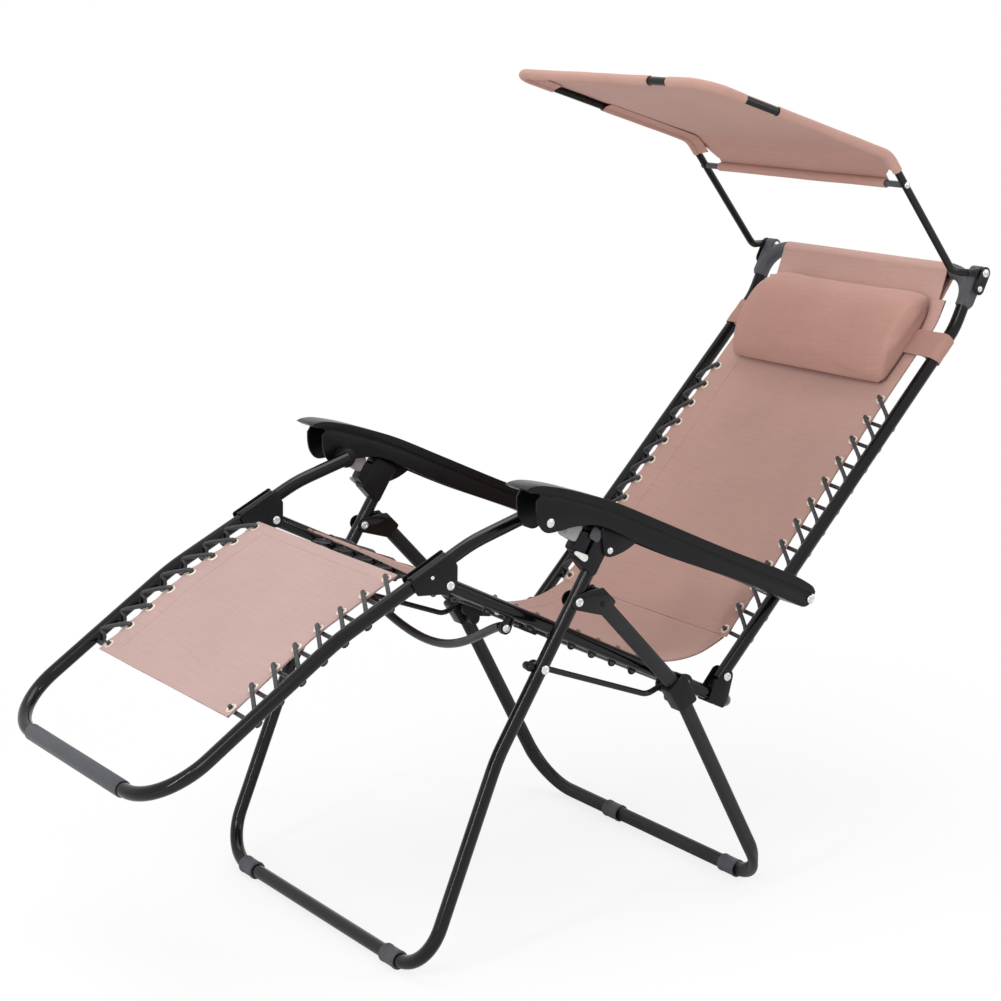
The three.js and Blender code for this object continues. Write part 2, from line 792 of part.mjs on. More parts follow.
function kneeBracket(side) {
  return forkBracket(side, restMidLine, kneeAlong, kneeCollarFront, kneeCollarBack, knee, 1, restClear);
}

function backHingeBracket(side) {
  return forkBracket(side, seatLine, backPivotRun, hingeCollar / 2, hingeCollar / 2, backPivot, 1, seatClear);
}

// Leg rest

function legRestFrame() {
  const hubs = sides.map(([, side]) => (
    slab(around([[restTop, hubRadius]]), side * railHalf, side * (armrestInner - gap))));
  return join([sweep(roundSection(frameTube / 2), restPath), ...hubs]);
}

function footBarSleeve() {
  const radius = frameTube / 2 + gap + footSleeveWall;
  return cut(crossBar(restFoot, radius / Math.cos(Math.PI / tubeSides), -footSleeveHalf, footSleeveHalf),
    [restClear]);
}

// Back

function backFrame() {
  const holes = sides.flatMap(([, side]) => [backPivot, armPivot].map((place) => (
    rivetHole(place, side * (railInner - frameTube), side * (railOuter + frameTube)))));
  return cut(sweep(roundSection(frameTube / 2), backPath), holes);
}

// A plastic elbow over each top corner, thickened where the canopy is pinned.
function cornerConnector(side) {
  const path = roundedPath([
    inSpace(backTopLine.at(backTopRun - connectorSide), side * railHalf), inSpace(backTop, side * railHalf),
    inSpace(backTop, side * connectorInner),
  ], [0, backCornerRadius, 0]);
  const elbow = sweep(roundSection(frameTube / 2 + connectorWall), path);
  const block = slab(around([
    [canopyPivot, canopyPlateRadius], [canopyScrew, canopyPlateRadius - connectorWall],
    [backTopLine.at(backTopRun - connectorBlockDrop), frameTube / 2],
  ]), side * (railHalf - connectorBlockInner), side * connectorOuter);
  return cut(join([elbow, block]), [backClear,
    rivetHole(canopyPivot, side * (railHalf - frameTube), side * (railHalf + frameTube))]);
}

// Armrests

function armPlaces(shares) {
  return shares.map(([run, rise]) => armLine.at(run * armSpan, rise * armDepth));
}

function armrest(side) {
  const body = slab(outline(armPlaces([...armTopShares, ...armUnderShares])),
    side * armrestInner, side * armrestOuter);
  const roof = armPlaces(channelShares);
  const under = [roof.at(-1), roof[0]].map((place) => place.clone().addScaledVector(armLine.across, -2 * armDepth));
  const channel = slab(outline([...roof, ...under]), side * (armrestInner + armWall), side * (armrestOuter - armWall));
  const head = slab(around([[restTop, armRivetHead]]), side * (armrestOuter - armWall / 2),
    side * (armrestOuter + armRivetHeight));
  return cut(join([cut(body, [channel]), head]),
    [rivetHole(armPivot, side * (armrestInner - armWall), side * (armrestOuter + armWall))]);
}

// Locks

// The housing over the front leg's top, with the half-round plate that runs inside the armrest.
function lockHousing(side) {
  const places = [[housingLow + housingCorner, -housingBack], [housingHigh - housingCorner, -housingBack],
    [housingHigh - housingCorner, housingForward], [housingLow + 2 * housingCorner, housingForward]];
  const half = frameTube / 2 + gap + housingWall;
  const body = slab(around(places.map(([run, rise]) => [frontLegLine.at(run, rise), housingCorner])),
    side * (legHalf - half), side * (legHalf + half));
  const centre = frontLegLine.at(plateRise, -plateBack);
  const rim = Array.from({ length: tubeSides + 1 }, (_, i) => {
    const angle = radians(armTilt - plateTrim - (180 - plateTrim) * i / tubeSides);
    return new THREE.Vector2(Math.cos(angle), Math.sin(angle)).multiplyScalar(plateRadius).add(centre);
  });
  const plate = slab(outline(rim), side * (legHalf + half - housingWall / 2), side * (legHalf + half + plateThickness));
  return cut(join([body, plate]), [frontLegClear]);
}

function lockLever(side) {
  const half = frameTube / 2 + gap + housingWall;
  const inner = legHalf + half + gap;
  return slab(around([
    [leverPivot, leverRadius], [leverPivot.clone().addScaledVector(frontLegLine.across, leverLength), leverRadius / 2],
  ]), side * inner, side * (inner + leverThickness));
}

// Canopy

function canopyPlate(side) {
  const plate = slab(around([[canopyPivot, canopyPlateRadius], [canopyScrew, canopyPlateRadius]]),
    side * plateInner, side * plateOuter);
  const spacer = slab(around([[canopyScrew, rivetHead / 2]]), side * (connectorOuter + gap),
    side * (plateOuter + rivetHeadHeight));
  return cut(join([plate, spacer]),
    [rivetHole(canopyPivot, side * connectorOuter, side * (plateOuter + frameTube))]);
}

function canopyTubePath() {
  const start = eyeInner + canopyEyeThickness / 2 - canopyTube / 2;
  const half = [
    inSpace(canopyStub.at(canopyEyeReach), start), inSpace(canopyStub.at(canopyStubRun), canopyHalf),
    inSpace(canopyTopLine.origin, canopyHalf), inSpace(canopyFront, canopyHalf),
  ];
  const mirrored = half.map((point) => new THREE.Vector3(point.x, -point.y, point.z)).reverse();
  const radii = [0, canopyStubBendRadius, canopyBendRadius, canopyCornerRadius];
  return roundedPath([...half, ...mirrored], [...radii, ...[...radii].reverse()]);
}

function canopyFrame() {
  const eyes = sides.map(([, side]) => slab(around([
    [canopyPivot, canopyEyeRadius], [canopyStub.at(canopyTangReach), canopyTube / 2 - gap],
  ]), side * eyeInner, side * (eyeInner + canopyEyeThickness)));
  const pins = sides.flatMap(([, side]) => [
    rivetHole(canopyPivot, side * connectorOuter, side * plateOuter),
    slab(around([[canopyBarPlace, canopyBarPin / 2 + gap]]), side * (canopyHalf - canopyTube),
      side * (canopyHalf + canopyTube)),
  ]);
  return cut(join([sweep(roundSection(canopyTube / 2, smallSides), canopyTubePath()), ...eyes]), pins);
}

function canopyRearBar() {
  const inner = canopyHalf - canopyTube / 2 - gap;
  const outer = canopyHalf + canopyTube / 2 + gap;
  const bar = crossBar(canopyBarPlace, canopyBarTube / 2, -inner, inner);
  const pins = sides.flatMap(([, side]) => [
    slab(around([[canopyBarPlace, canopyBarPin / 2 - gap]]), side * (inner - canopyTube), side * (outer + gap)),
    slab(around([[canopyBarPlace, canopyBarPin]]), side * outer, side * (outer + rivetHeadHeight)),
  ]);
  return join([bar, ...pins]);
}

// The stretched cover: a top sheet with skirts down its sides and front, and a flap to the rear bar.
function canopyCover() {
  const centreLine = (start, end) => roundedPath([start, canopyTopLine.origin, end].map((place) => inSpace(place, 0)),
    [0, canopyBendRadius, 0]).map(({ point }) => new THREE.Vector2(point.x, point.z));
  const under = canopyTube / 2 + gap;
  const over = under + clothThickness;
  const rear = canopyKick.at(canopyKickRun - canopyClothRear);
  const body = slab(strip(centreLine(rear, canopyTopLine.at(canopyTopRun + over)), -over, canopyClothDrop),
    -(canopyHalf + over), canopyHalf + over);
  const hollowStart = canopyKick.at(canopyKickRun - 2 * canopyClothRear);
  const hollow = slab(strip(centreLine(hollowStart, canopyTopLine.at(canopyTopRun + under)), -under, 4 * over),
    -(canopyHalf + under), canopyHalf + under);
  const sheet = cut(body, [hollow]);
  const flap = slab(strip([canopyBarPlace, canopyKick.at(canopyKickRun - canopyClothRear + over)], -over, -under),
    -canopyFlapHalf, canopyFlapHalf);
  const hem = crossBar(canopyBarPlace, over, -canopyFlapHalf, canopyFlapHalf);
  const bore = crossBar(canopyBarPlace, canopyBarTube / 2 + gap, -railHalf, railHalf);
  return cut(join([sheet, flap, hem]), [bore]);
}

// Fabric sling

function backAt(run, rise) {
  return run < backRun ? backLine.at(run, rise) : backTopLine.at(run - backRun, rise);
}

function restAt(run, rise) {
  return run < restMidRun ? restMidLine.at(run, -rise) : restFootLine.at(run - restMidRun, -rise);
}

function spaced(from, to, count) {
  return Array.from({ length: count }, (_, i) => from + (to - from) * i / (count - 1));
}

// A hole for each grommet along both edges of a panel.
function grommetHoles(at, runs, rise, half) {
  const depth = 4 * lacingPass;
  return sides.flatMap(([, side]) => runs.map((run) => {
    const up = at(run, rise + lacingPass).sub(at(run, rise - lacingPass)).normalize();
    const hole = new THREE.CylinderGeometry(grommetHole / 2, grommetHole / 2, depth, cordSides);
    const turn = new THREE.Quaternion().setFromUnitVectors(new THREE.Vector3(0, 1, 0), inSpace(up, 0));
    const centre = inSpace(at(run, rise), side * (half - grommetInset));
    return hole.applyQuaternion(turn).translate(centre.x, centre.y, centre.z);
  }));
}

const backGrommetRuns = spaced(backGrommetStart, backGrommetStart + grommetPitch * (backGrommets - 1), backGrommets);
const seatGrommetRuns = spaced(seatGrommetStart, seatGrommetStart + grommetPitch * (seatGrommets - 1), seatGrommets);
const legGrommetRuns = spaced(legGrommetStart, legGrommetStart + legGrommetPitch * (legGrommets - 1), legGrommets);

function slingBack() {
  const wideEnd = backRun + backTopRun - headerDepth;
  const runs = [...spaced(backClothStart, backRun, clothRows + 4), wideEnd];
  const places = runs.map((run) => backAt(run, backClothRise));
  const main = clothPanel(places, backClothHalf, backClothSag);
  const hemRadius = frameTube / 2 + gap + headerWall;
  const headerTop = backTopLine.at(backTopRun, hemRadius - clothThickness / 2);
  const header = slab(strip([backAt(wideEnd - clothThickness, backClothRise), headerTop],
    -clothThickness / 2, clothThickness / 2), -headerHalf, headerHalf);
  const hem = crossBar(backTop, hemRadius, -headerHalf, headerHalf);
  return cut(join([main, header, hem]),
    [backClear, ...grommetHoles(backAt, backGrommetRuns, backClothRise, backClothHalf)]);
}

function slingSeat() {
  const flat = spaced(seatClothStart, seatClothFlat, clothRows).map((run) => seatLine.at(run, seatClothRise));
  const curve = [seatLine.at(seatCurveRun, seatCurveRise), seatLine.at(seatClothEnd, seatClothEndRise)];
  const ease = seatLine.at((seatClothFlat + seatCurveRun) / 2, seatClothRise + (seatCurveRise - seatClothRise) / 3);
  return cut(clothPanel([...flat, ease, ...curve], seatClothHalf, seatClothSag),
    grommetHoles((run, rise) => seatLine.at(run, rise), seatGrommetRuns, seatClothRise, seatClothHalf));
}

function slingLeg() {
  const end = restMidRun + legClothFootRun;
  const places = spaced(end, legClothStart, clothRows + 1).map((run) => restAt(run, legClothRise));
  return cut(clothPanel(places, legClothHalf, legClothSag),
    grommetHoles(restAt, legGrommetRuns, legClothRise, legClothHalf));
}

// One elastic cord along a side: down through each grommet, round the tube and back to the next.
function lacing(side, at, runs, rise, clothHalf) {
  const edge = clothHalf - grommetInset;
  const points = runs.flatMap((run, i) => {
    const next = runs[i + 1];
    const holes = [inSpace(at(run, rise + lacingPass), side * edge), inSpace(at(run, rise - lacingPass), side * edge)];
    if (next === undefined) return holes;
    const wraps = spaced(-wrapHalfAngle, wrapHalfAngle, wrapSteps).map((degrees, k) => {
      const share = wrapStartShare + (wrapEndShare - wrapStartShare) * k / (wrapSteps - 1);
      const swing = heading(degrees).multiplyScalar(lacingReach);
      return inSpace(at(run + (next - run) * share, swing.y), side * (railHalf + swing.x));
    });
    return [...holes, ...wraps];
  });
  const stations = points.map((point, i) => ({
    point,
    tangent: points[Math.min(i + 1, points.length - 1)].clone().sub(points[Math.max(i - 1, 0)]).normalize(),
  }));
  return sweep(roundSection(cordThickness / 2, cordSides), stations);
}

// Pillow

// A wedge-shaped pillow whose section swells toward the middle of its width.
function pillow() {
  const rise = backClothRise + clothThickness / 2 + pillowSeat;
  const rings = Array.from({ length: pillowRings + 1 }, (_, i) => Math.cos(Math.PI * i / pillowRings));
  const points = rings.flatMap((share) => {
    const crown = 1 - pillowDrawShare * share ** 2 - pillowEndShare * share ** 16;
    return pillowShares.map(([run, lift]) => {
      const drawn = 0.5 + (run - 0.5) * (1 - pillowEndShare * share ** 16);
      return inSpace(backAt(pillowStart + pillowLength * drawn, rise + pillowDepth * lift * crown), pillowHalf * share);
    });
  });
  const count = pillowShares.length;
  const faces = [];
  for (let i = 0; i < pillowRings; i += 1) {
    for (let j = 0; j < count; j += 1) {
      const a = i * count + j;
      const b = i * count + (j + 1) % count;
      faces.push(a, b, b + count, a, b + count, a + count);
    }
  }
  const section = pillowShares.map(([run, lift]) => new THREE.Vector2(run, lift));
  const lids = THREE.ShapeUtils.triangulateShape(section, []);
  const last = pillowRings * count;
  lids.forEach(([a, b, c]) => faces.push(a, b, c, last + a, last + c, last + b));
  const geometry = new THREE.BufferGeometry().setFromPoints(points);
  geometry.setIndex(faces);
  return outward(geometry);
}

// A fabric loop round a back tube, sewn to the pillow's end.
function pillowStrap(side) {
  const inner = frameTube / 2 + strapGap;
  const outer = inner + strapThickness;
  const ring = (radius) => around([[new THREE.Vector2(side * railHalf, 0), radius]]);
  const tail = outline([
    new THREE.Vector2(side * (pillowHalf + gap), inner), new THREE.Vector2(side * railHalf, inner),
    new THREE.Vector2(side * railHalf, outer), new THREE.Vector2(side * (pillowHalf + gap), outer),
  ]);
  const along = (shape, from, length) => (
    new THREE.ExtrudeGeometry(shape, { depth: length, bevelEnabled: false }).applyMatrix4(backLine.frame(from)));
  return cut(join([along(ring(outer), strapStart, strapWidth), along(tail, strapStart, strapWidth)]),
    [along(ring(inner), strapStart - strapWidth, 3 * strapWidth)]);
}

// The assembly

const lounger = new THREE.Group();

function add(name, geometry, material) {
  const mesh = new THREE.Mesh(geometry, material);
  mesh.name = name;
  lounger.add(mesh);
}

add("front_leg", frontLeg(), finishes.paint);
add("rear_leg", rearLeg(), finishes.satin);
add("front_foot_left", footSleeve(frontFoot, -frontFootOut, frontLegClear), finishes.greyPlastic);
add("front_foot_right", footSleeve(frontFoot, frontFootOut, frontLegClear), finishes.greyPlastic);
add("rear_foot_left", footSleeve(rearFoot, -rearFootLeftOut, rearLegClear), finishes.greyPlastic);
add("rear_foot_right", footSleeve(rearFoot, rearFootRightOut, rearLegClear), finishes.greyPlastic);
add("seat_frame", seatFrame(), finishes.paint);
add("seat_cross_tube", seatCrossTube(), finishes.paint);
add("leg_rest_frame", legRestFrame(), finishes.paint);
add("foot_bar_sleeve", footBarSleeve(), finishes.greyPlastic);
add("back_frame", backFrame(), finishes.paint);
add("canopy_frame", canopyFrame(), finishes.paint);
add("canopy_rear_bar", canopyRearBar(), finishes.lever);
add("canopy_cover", canopyCover(), finishes.cloth);
add("sling_back", slingBack(), finishes.cloth);
add("sling_seat", slingSeat(), finishes.cloth);
add("sling_leg", slingLeg(), finishes.cloth);
add("pillow", pillow(), finishes.cloth);

for (const [word, side] of sides) {
  add(`leg_bracket_${word}`, legBracket(side), finishes.satin);
  add(`leg_pin_${word}`, rivet(apex, legHalf - bracketOuter - gap, legHalf + bracketOuter + gap, side),
    finishes.rivet);
  add(`slide_sleeve_${word}`, slideSleeve(side), finishes.plastic);
  add(`seat_pin_${word}`, rivet(seatPivot, railInner - gap, earOuter + gap, side), finishes.rivet);
  add(`link_rod_${word}`, linkRodPiece(side), finishes.paint);
  add(`link_pin_${word}`, rivet(linkPin, rodHalf - linkRod / 2 - gap, legOuter + gap, side,
    [rodHalf + linkRod / 2 + gap, legInner - gap, rivetHead / 2]), finishes.rivet);
  add(`knee_bracket_${word}`, kneeBracket(side), finishes.plastic);
  add(`knee_pin_${word}`, rivet(knee, railHalf - bracketOuter - gap, railHalf + bracketOuter + gap, side),
    finishes.rivet);
  add(`back_bracket_${word}`, backHingeBracket(side), finishes.plastic);
  add(`back_pin_${word}`, rivet(backPivot, railHalf - bracketOuter - gap, railHalf + bracketOuter + gap, side),
    finishes.rivet);
  add(`armrest_${word}`, armrest(side), finishes.plastic);
  add(`armrest_pin_${word}`, rivet(armPivot, railInner - gap, armrestOuter + gap, side,
    [railOuter + gap, armrestInner - gap, rivetHead / 2]), finishes.rivet);
  add(`lock_housing_${word}`, lockHousing(side), finishes.plastic);
  add(`lock_lever_${word}`, lockLever(side), finishes.lever);
  add(`corner_connector_${word}`, cornerConnector(side), finishes.greyPlastic);
  add(`canopy_plate_${word}`, canopyPlate(side), finishes.paint);
  add(`canopy_bolt_${word}`, rivet(canopyPivot, railHalf - connectorBlockInner - gap, plateOuter + gap, side),
    finishes.rivet);
  add(`pillow_strap_${word}`, pillowStrap(side), finishes.cloth);
  add(`lacing_back_${word}`, lacing(side, backAt, backGrommetRuns, backClothRise, backClothHalf), finishes.cord);
  add(`lacing_seat_${word}`, lacing(side, (run, rise) => seatLine.at(run, rise), seatGrommetRuns,
    seatClothRise, seatClothHalf), finishes.cord);
  add(`lacing_leg_${word}`, lacing(side, restAt, legGrommetRuns, legClothRise, legClothHalf), finishes.cord);
}

// The origin sits on the floor under the middle of the whole object.
const extent = new THREE.Box3().setFromObject(lounger);
const middle = extent.getCenter(new THREE.Vector3());
lounger.position.set(-middle.x, -middle.y, -extent.min.z);

export default lounger;
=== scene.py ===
"""Folding sun lounger with canopy: its visible pieces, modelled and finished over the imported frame."""

import json
import logging
import math
from contextlib import contextmanager
from dataclasses import dataclass
from enum import Enum
from typing import Callable, Iterable, Iterator, Sequence

import bpy
import numpy as np
from mathutils import Matrix, Vector

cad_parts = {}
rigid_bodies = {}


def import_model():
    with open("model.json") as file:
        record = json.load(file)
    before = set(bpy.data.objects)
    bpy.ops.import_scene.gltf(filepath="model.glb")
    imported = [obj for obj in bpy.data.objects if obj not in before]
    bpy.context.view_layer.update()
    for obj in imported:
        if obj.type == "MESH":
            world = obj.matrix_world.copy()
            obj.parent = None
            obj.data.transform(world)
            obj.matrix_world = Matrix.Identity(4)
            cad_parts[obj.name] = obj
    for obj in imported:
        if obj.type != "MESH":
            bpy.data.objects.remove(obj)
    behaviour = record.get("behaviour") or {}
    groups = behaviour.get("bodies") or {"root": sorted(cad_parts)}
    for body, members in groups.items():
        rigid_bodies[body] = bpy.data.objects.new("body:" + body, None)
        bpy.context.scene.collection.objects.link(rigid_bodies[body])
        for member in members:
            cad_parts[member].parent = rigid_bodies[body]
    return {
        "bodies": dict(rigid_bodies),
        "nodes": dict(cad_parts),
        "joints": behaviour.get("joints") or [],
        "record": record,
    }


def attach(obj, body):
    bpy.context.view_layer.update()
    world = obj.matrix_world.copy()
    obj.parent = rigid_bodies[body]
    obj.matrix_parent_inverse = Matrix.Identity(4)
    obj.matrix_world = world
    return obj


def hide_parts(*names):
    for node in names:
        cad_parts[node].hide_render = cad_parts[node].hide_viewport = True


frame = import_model()

LOG = logging.getLogger("lounger")
Place = tuple[float, float]
MM = 0.001


class Side(Enum):
    """One of the lounger's two long sides, seen by the sitter facing the feet."""

    LEFT = -1
    RIGHT = 1

    @property
    def word(self) -> str:
        """The side's word, as the frame's nodes use it."""
        return self.name.lower()


# Shader expressions


class Wire:
    """A shader socket or number that takes part in arithmetic."""

    def __init__(self, shade: "Shade", source: object) -> None:
        """Keep the node tree's builder and the socket or number."""
        self.shade = shade
        self.source = source

    def _math(self, kind: str, *others: object) -> "Wire":
        """Add a Math node over this and further wires or numbers."""
        return self.shade.node("ShaderNodeMath", {"operation": kind}, dict(enumerate((self, *others))))

    def __add__(self, other: object) -> "Wire":
        """Add."""
        return self._math("ADD", other)

    __radd__ = __add__

    def __mul__(self, other: object) -> "Wire":
        """Multiply."""
        return self._math("MULTIPLY", other)

    __rmul__ = __mul__

    def __sub__(self, other: object) -> "Wire":
        """Subtract."""
        return self._math("SUBTRACT", other)

    def __rsub__(self, other: object) -> "Wire":
        """Subtract this from another value."""
        return (self * -1.0) + other

    def sine(self) -> "Wire":
        """Take the sine."""
        return self._math("SINE")

    def size(self) -> "Wire":
        """Take the absolute value."""
        return self._math("ABSOLUTE")

    def clamp(self, low: float, high: float) -> "Wire":
        """Map low to 0 and high to 1, clamped and eased."""
        settings = {"interpolation_type": "SMOOTHSTEP"}
        return self.shade.node("ShaderNodeMapRange", settings, {"Value": self, "From Min": low, "From Max": high})


class Shade:
    """Builds one material's node tree."""

    def __init__(self, name: str) -> None:
        """Start an empty material.

        Args:
            name: The material's name.
        """
        self.material = bpy.data.materials.new(name)
        self.material.use_nodes = True
        self.tree = self.material.node_tree
        self.tree.nodes.clear()

    def node(self, kind: str, settings: dict[str, object], inputs: dict[object, object], out: object = 0) -> Wire:
        """Add a node.

        Args:
            kind: The node's type.
            settings: Its properties, set first.
            inputs: Its sockets' values or wires.
            out: The output's name or number.

        Returns:
            The chosen output.
        """
        made = self.tree.nodes.new(kind)
        for key, value in settings.items():
            setattr(made, key, value)
        for key, value in inputs.items():
            if isinstance(value, Wire) and isinstance(value.source, bpy.types.NodeSocket):
                self.tree.links.new(value.source, made.inputs[key])
            else:
                made.inputs[key].default_value = value.source if isinstance(value, Wire) else value
        return Wire(self, made.outputs[out])

    def points(self, scale: Sequence[float] = (1, 1, 1), turn: Sequence[float] = (0, 0, 0)) -> Wire:
        """Object coordinates, scaled and turned."""
        plain = self.node("ShaderNodeTexCoord", {}, {}, "Object")
        return self.node("ShaderNodeMapping", {}, {"Vector": plain, "Scale": scale, "Rotation": turn})

    def cloth_points(self, scale: Sequence[float]) -> Wire:
        """The piece's own UV map, laid out in metres, scaled."""
        plain = self.node("ShaderNodeUVMap", {"uv_map": "UVMap"}, {})
        return self.node("ShaderNodeMapping", {}, {"Vector": plain, "Scale": scale})

    def noise(self, where: Wire, scale: float, detail: float = 3.0) -> Wire:
        """Smooth noise from 0 to 1."""
        return self.node("ShaderNodeTexNoise", {}, {"Vector": where, "Scale": scale, "Detail": detail})

    def axis(self, where: Wire, name: str) -> Wire:
        """One axis of a vector."""
        return self.node("ShaderNodeSeparateXYZ", {}, {"Vector": where}, name)

    def mix(self, share: object, first: object, second: object) -> Wire:
        """Blend two colours.

        Args:
            share: How much of the second colour shows.
            first: The first colour.
            second: The second colour.

        Returns:
            The blended colour.
        """
        made = self.tree.nodes.new("ShaderNodeMix")
        made.data_type = "RGBA"
        for socket, value in ((made.inputs[0], share), (made.inputs[6], first), (made.inputs[7], second)):
            if isinstance(value, Wire):
                self.tree.links.new(value.source, socket)
            else:
                socket.default_value = value
        return Wire(self, made.outputs[2])

    def bump(self, height: Wire, depth: float, strength: float = 1.0) -> Wire:
        """A bumped normal, where a height of 1 is so many metres deep."""
        return self.node("ShaderNodeBump", {}, {"Height": height, "Distance": depth, "Strength": strength})

    def surface(self, inputs: dict[str, object]) -> bpy.types.Material:
        """Close the tree with a Principled surface that has these inputs."""
        self.close(self.node("ShaderNodeBsdfPrincipled", {}, inputs))
        return self.material

    def close(self, shader: Wire) -> None:
        """Link a shader to the material's output."""
        end = self.tree.nodes.new("ShaderNodeOutputMaterial")
        self.tree.links.new(shader.source, end.inputs["Surface"])


def rgb(*screen: float) -> tuple[float, float, float, float]:
    """A colour told as on a screen, from 0 to 255, as linear values with full alpha."""
    shares = [value / 255 for value in screen]
    return (*(v / 12.92 if v <= 0.04045 else ((v + 0.055) / 1.055) ** 2.4 for v in shares), 1.0)


@dataclass(frozen=True)
class PowderCoat:
    """Black or grey coating on steel tube, with a faint orange-peel skin."""

    name: str
    shade: float
    gloss: float
    peel: float = 0.00006

    def make(self) -> bpy.types.Material:
        """Build the material."""
        tree = Shade(self.name)
        where = tree.points()
        cloud = tree.noise(where, 9.0)
        skin = tree.noise(where, 420.0, 2.0)
        dust = tree.noise(where, 140.0, 4.0).clamp(0.56, 0.8)
        dark = rgb(self.shade * 0.8, self.shade * 0.82, self.shade * 0.9)
        pale = rgb(self.shade * 1.5 + 3, self.shade * 1.5 + 3, self.shade * 1.6 + 4)
        colour = tree.mix(cloud * 0.5 + dust * 0.25, dark, pale)
        return tree.surface({
            "Base Color": colour,
            "Roughness": self.gloss + cloud * 0.1 + dust * 0.08,
            "Specular IOR Level": 0.2,
            "Coat Weight": 0.15,
            "Coat Roughness": 0.08,
            "Normal": tree.bump(skin, self.peel),
        })


@dataclass(frozen=True)
class MouldedPlastic:
    """Moulded plastic with a fine spark-eroded grain."""

    name: str
    colour: tuple[float, float, float]
    gloss: float
    grain: float = 0.00009

    def make(self) -> bpy.types.Material:
        """Build the material."""
        tree = Shade(self.name)
        where = tree.points()
        grain = tree.noise(where, 900.0, 3.0)
        cloud = tree.noise(where, 22.0, 3.0)
        low = rgb(*(c * 0.86 for c in self.colour))
        high = rgb(*(c * 1.14 + 2 for c in self.colour))
        return tree.surface({
            "Base Color": tree.mix(cloud, low, high),
            "Roughness": self.gloss + (cloud - 0.5) * 0.16 + grain * 0.06,
            "Specular IOR Level": 0.2,
            "Normal": tree.bump(grain, self.grain),
        })


@dataclass(frozen=True)
class PlatedSteel:
    """Bright plated steel of rivets, screws and rings."""

    name: str
    colour: tuple[float, float, float]
    gloss: float
    metal: float = 0.85

    def make(self) -> bpy.types.Material:
        """Build the material."""
        tree = Shade(self.name)
        where = tree.points()
        marks = tree.noise(where, 700.0, 4.0)
        stain = tree.noise(where, 160.0, 2.0).clamp(0.45, 0.75)
        low = rgb(*(c * 0.8 for c in self.colour))
        return tree.surface({
            "Base Color": tree.mix(stain * 0.5, rgb(*self.colour), low),
            "Metallic": self.metal,
            "Roughness": self.gloss + marks * 0.14,
            "Normal": tree.bump(marks, 0.00004),
        })


@dataclass(frozen=True)
class WovenCloth:
    """Plain-weave outdoor cloth with slub lines across its width."""

    name: str
    colour: tuple[float, float, float]
    thread: float = 0.0011
    seams: tuple[float, ...] = ()
    edge: float = 0.0

    def make(self) -> bpy.types.Material:
        """Build the material: threads both ways, slubs, soft mottling and stitched seam lines."""
        tree = Shade(self.name)
        flat = tree.cloth_points((1, 1, 1))
        across = tree.axis(flat, "X")
        along = tree.axis(flat, "Y")
        turns = 2 * math.pi / self.thread
        warp = (across * turns).sine() * 0.5 + 0.5
        weft = (along * turns).sine() * 0.5 + 0.5
        weave = warp * (1 - weft) + weft * (1 - warp)
        slub = tree.noise(tree.cloth_points((14, 620, 1)), 1.0, 4.0)
        fine = tree.noise(tree.cloth_points((60, 1700, 1)), 1.0, 2.0)
        long = tree.noise(tree.cloth_points((420, 9, 1)), 1.0, 3.0)
        mottle = tree.noise(tree.cloth_points((5, 7, 1)), 1.0, 3.0)
        base = rgb(*self.colour)
        dark = rgb(*(c * 0.86 for c in self.colour))
        pale = rgb(*(min(255, c * 1.09) for c in self.colour))
        colour = tree.mix(slub.clamp(0.35, 0.7) * 0.42, base, pale)
        colour = tree.mix(fine.clamp(0.5, 0.8) * 0.4, colour, dark)
        colour = tree.mix(long.clamp(0.5, 0.8) * 0.2, colour, dark)
        colour = tree.mix(mottle.clamp(0.3, 0.75) * 0.22, colour, dark)
        colour = tree.mix(weave * 0.16, colour, dark)
        height = weave * 0.7 + slub * 0.5
        for place in self.seams:
            line = 1 - (along - place).size().clamp(0.0006, 0.0022)
            stitch = (across * (2 * math.pi / 0.0042)).sine().clamp(-0.2, 0.5)
            colour = tree.mix(line * (1 - stitch * 0.55) * 0.75, colour, rgb(*(c * 0.55 for c in self.colour)))
            height = height - line * 3
        return tree.surface({
            "Base Color": colour,
            "Roughness": 0.86 - slub * 0.1,
            "Specular IOR Level": 0.25,
            "Sheen Weight": 0.12,
            "Sheen Roughness": 0.5,
            "Normal": tree.bump(height, 0.00008, 0.6),
        })


@dataclass(frozen=True)
class ElasticCord:
    """Black braided elastic cord."""

    name: str

    def make(self) -> bpy.types.Material:
        """Build the material."""
        tree = Shade(self.name)
        where = tree.points()
        one = (tree.axis(tree.points(turn=(0.9, 0.3, 0.2)), "X") * 3600.0).sine()
        two = (tree.axis(tree.points(turn=(-0.7, 1.1, 0.5)), "Y") * 3600.0).sine()
        braid = one * two * 0.5 + 0.5
        fuzz = tree.noise(where, 500.0, 3.0)
        colour = tree.mix(braid * 0.6 + fuzz * 0.3, rgb(14, 14, 16), rgb(62, 62, 66))
        return tree.surface({
            "Base Color": colour,
            "Roughness": 0.42 + fuzz * 0.2,
            "Specular IOR Level": 0.6,
            "Normal": tree.bump(braid, 0.0003),
        })


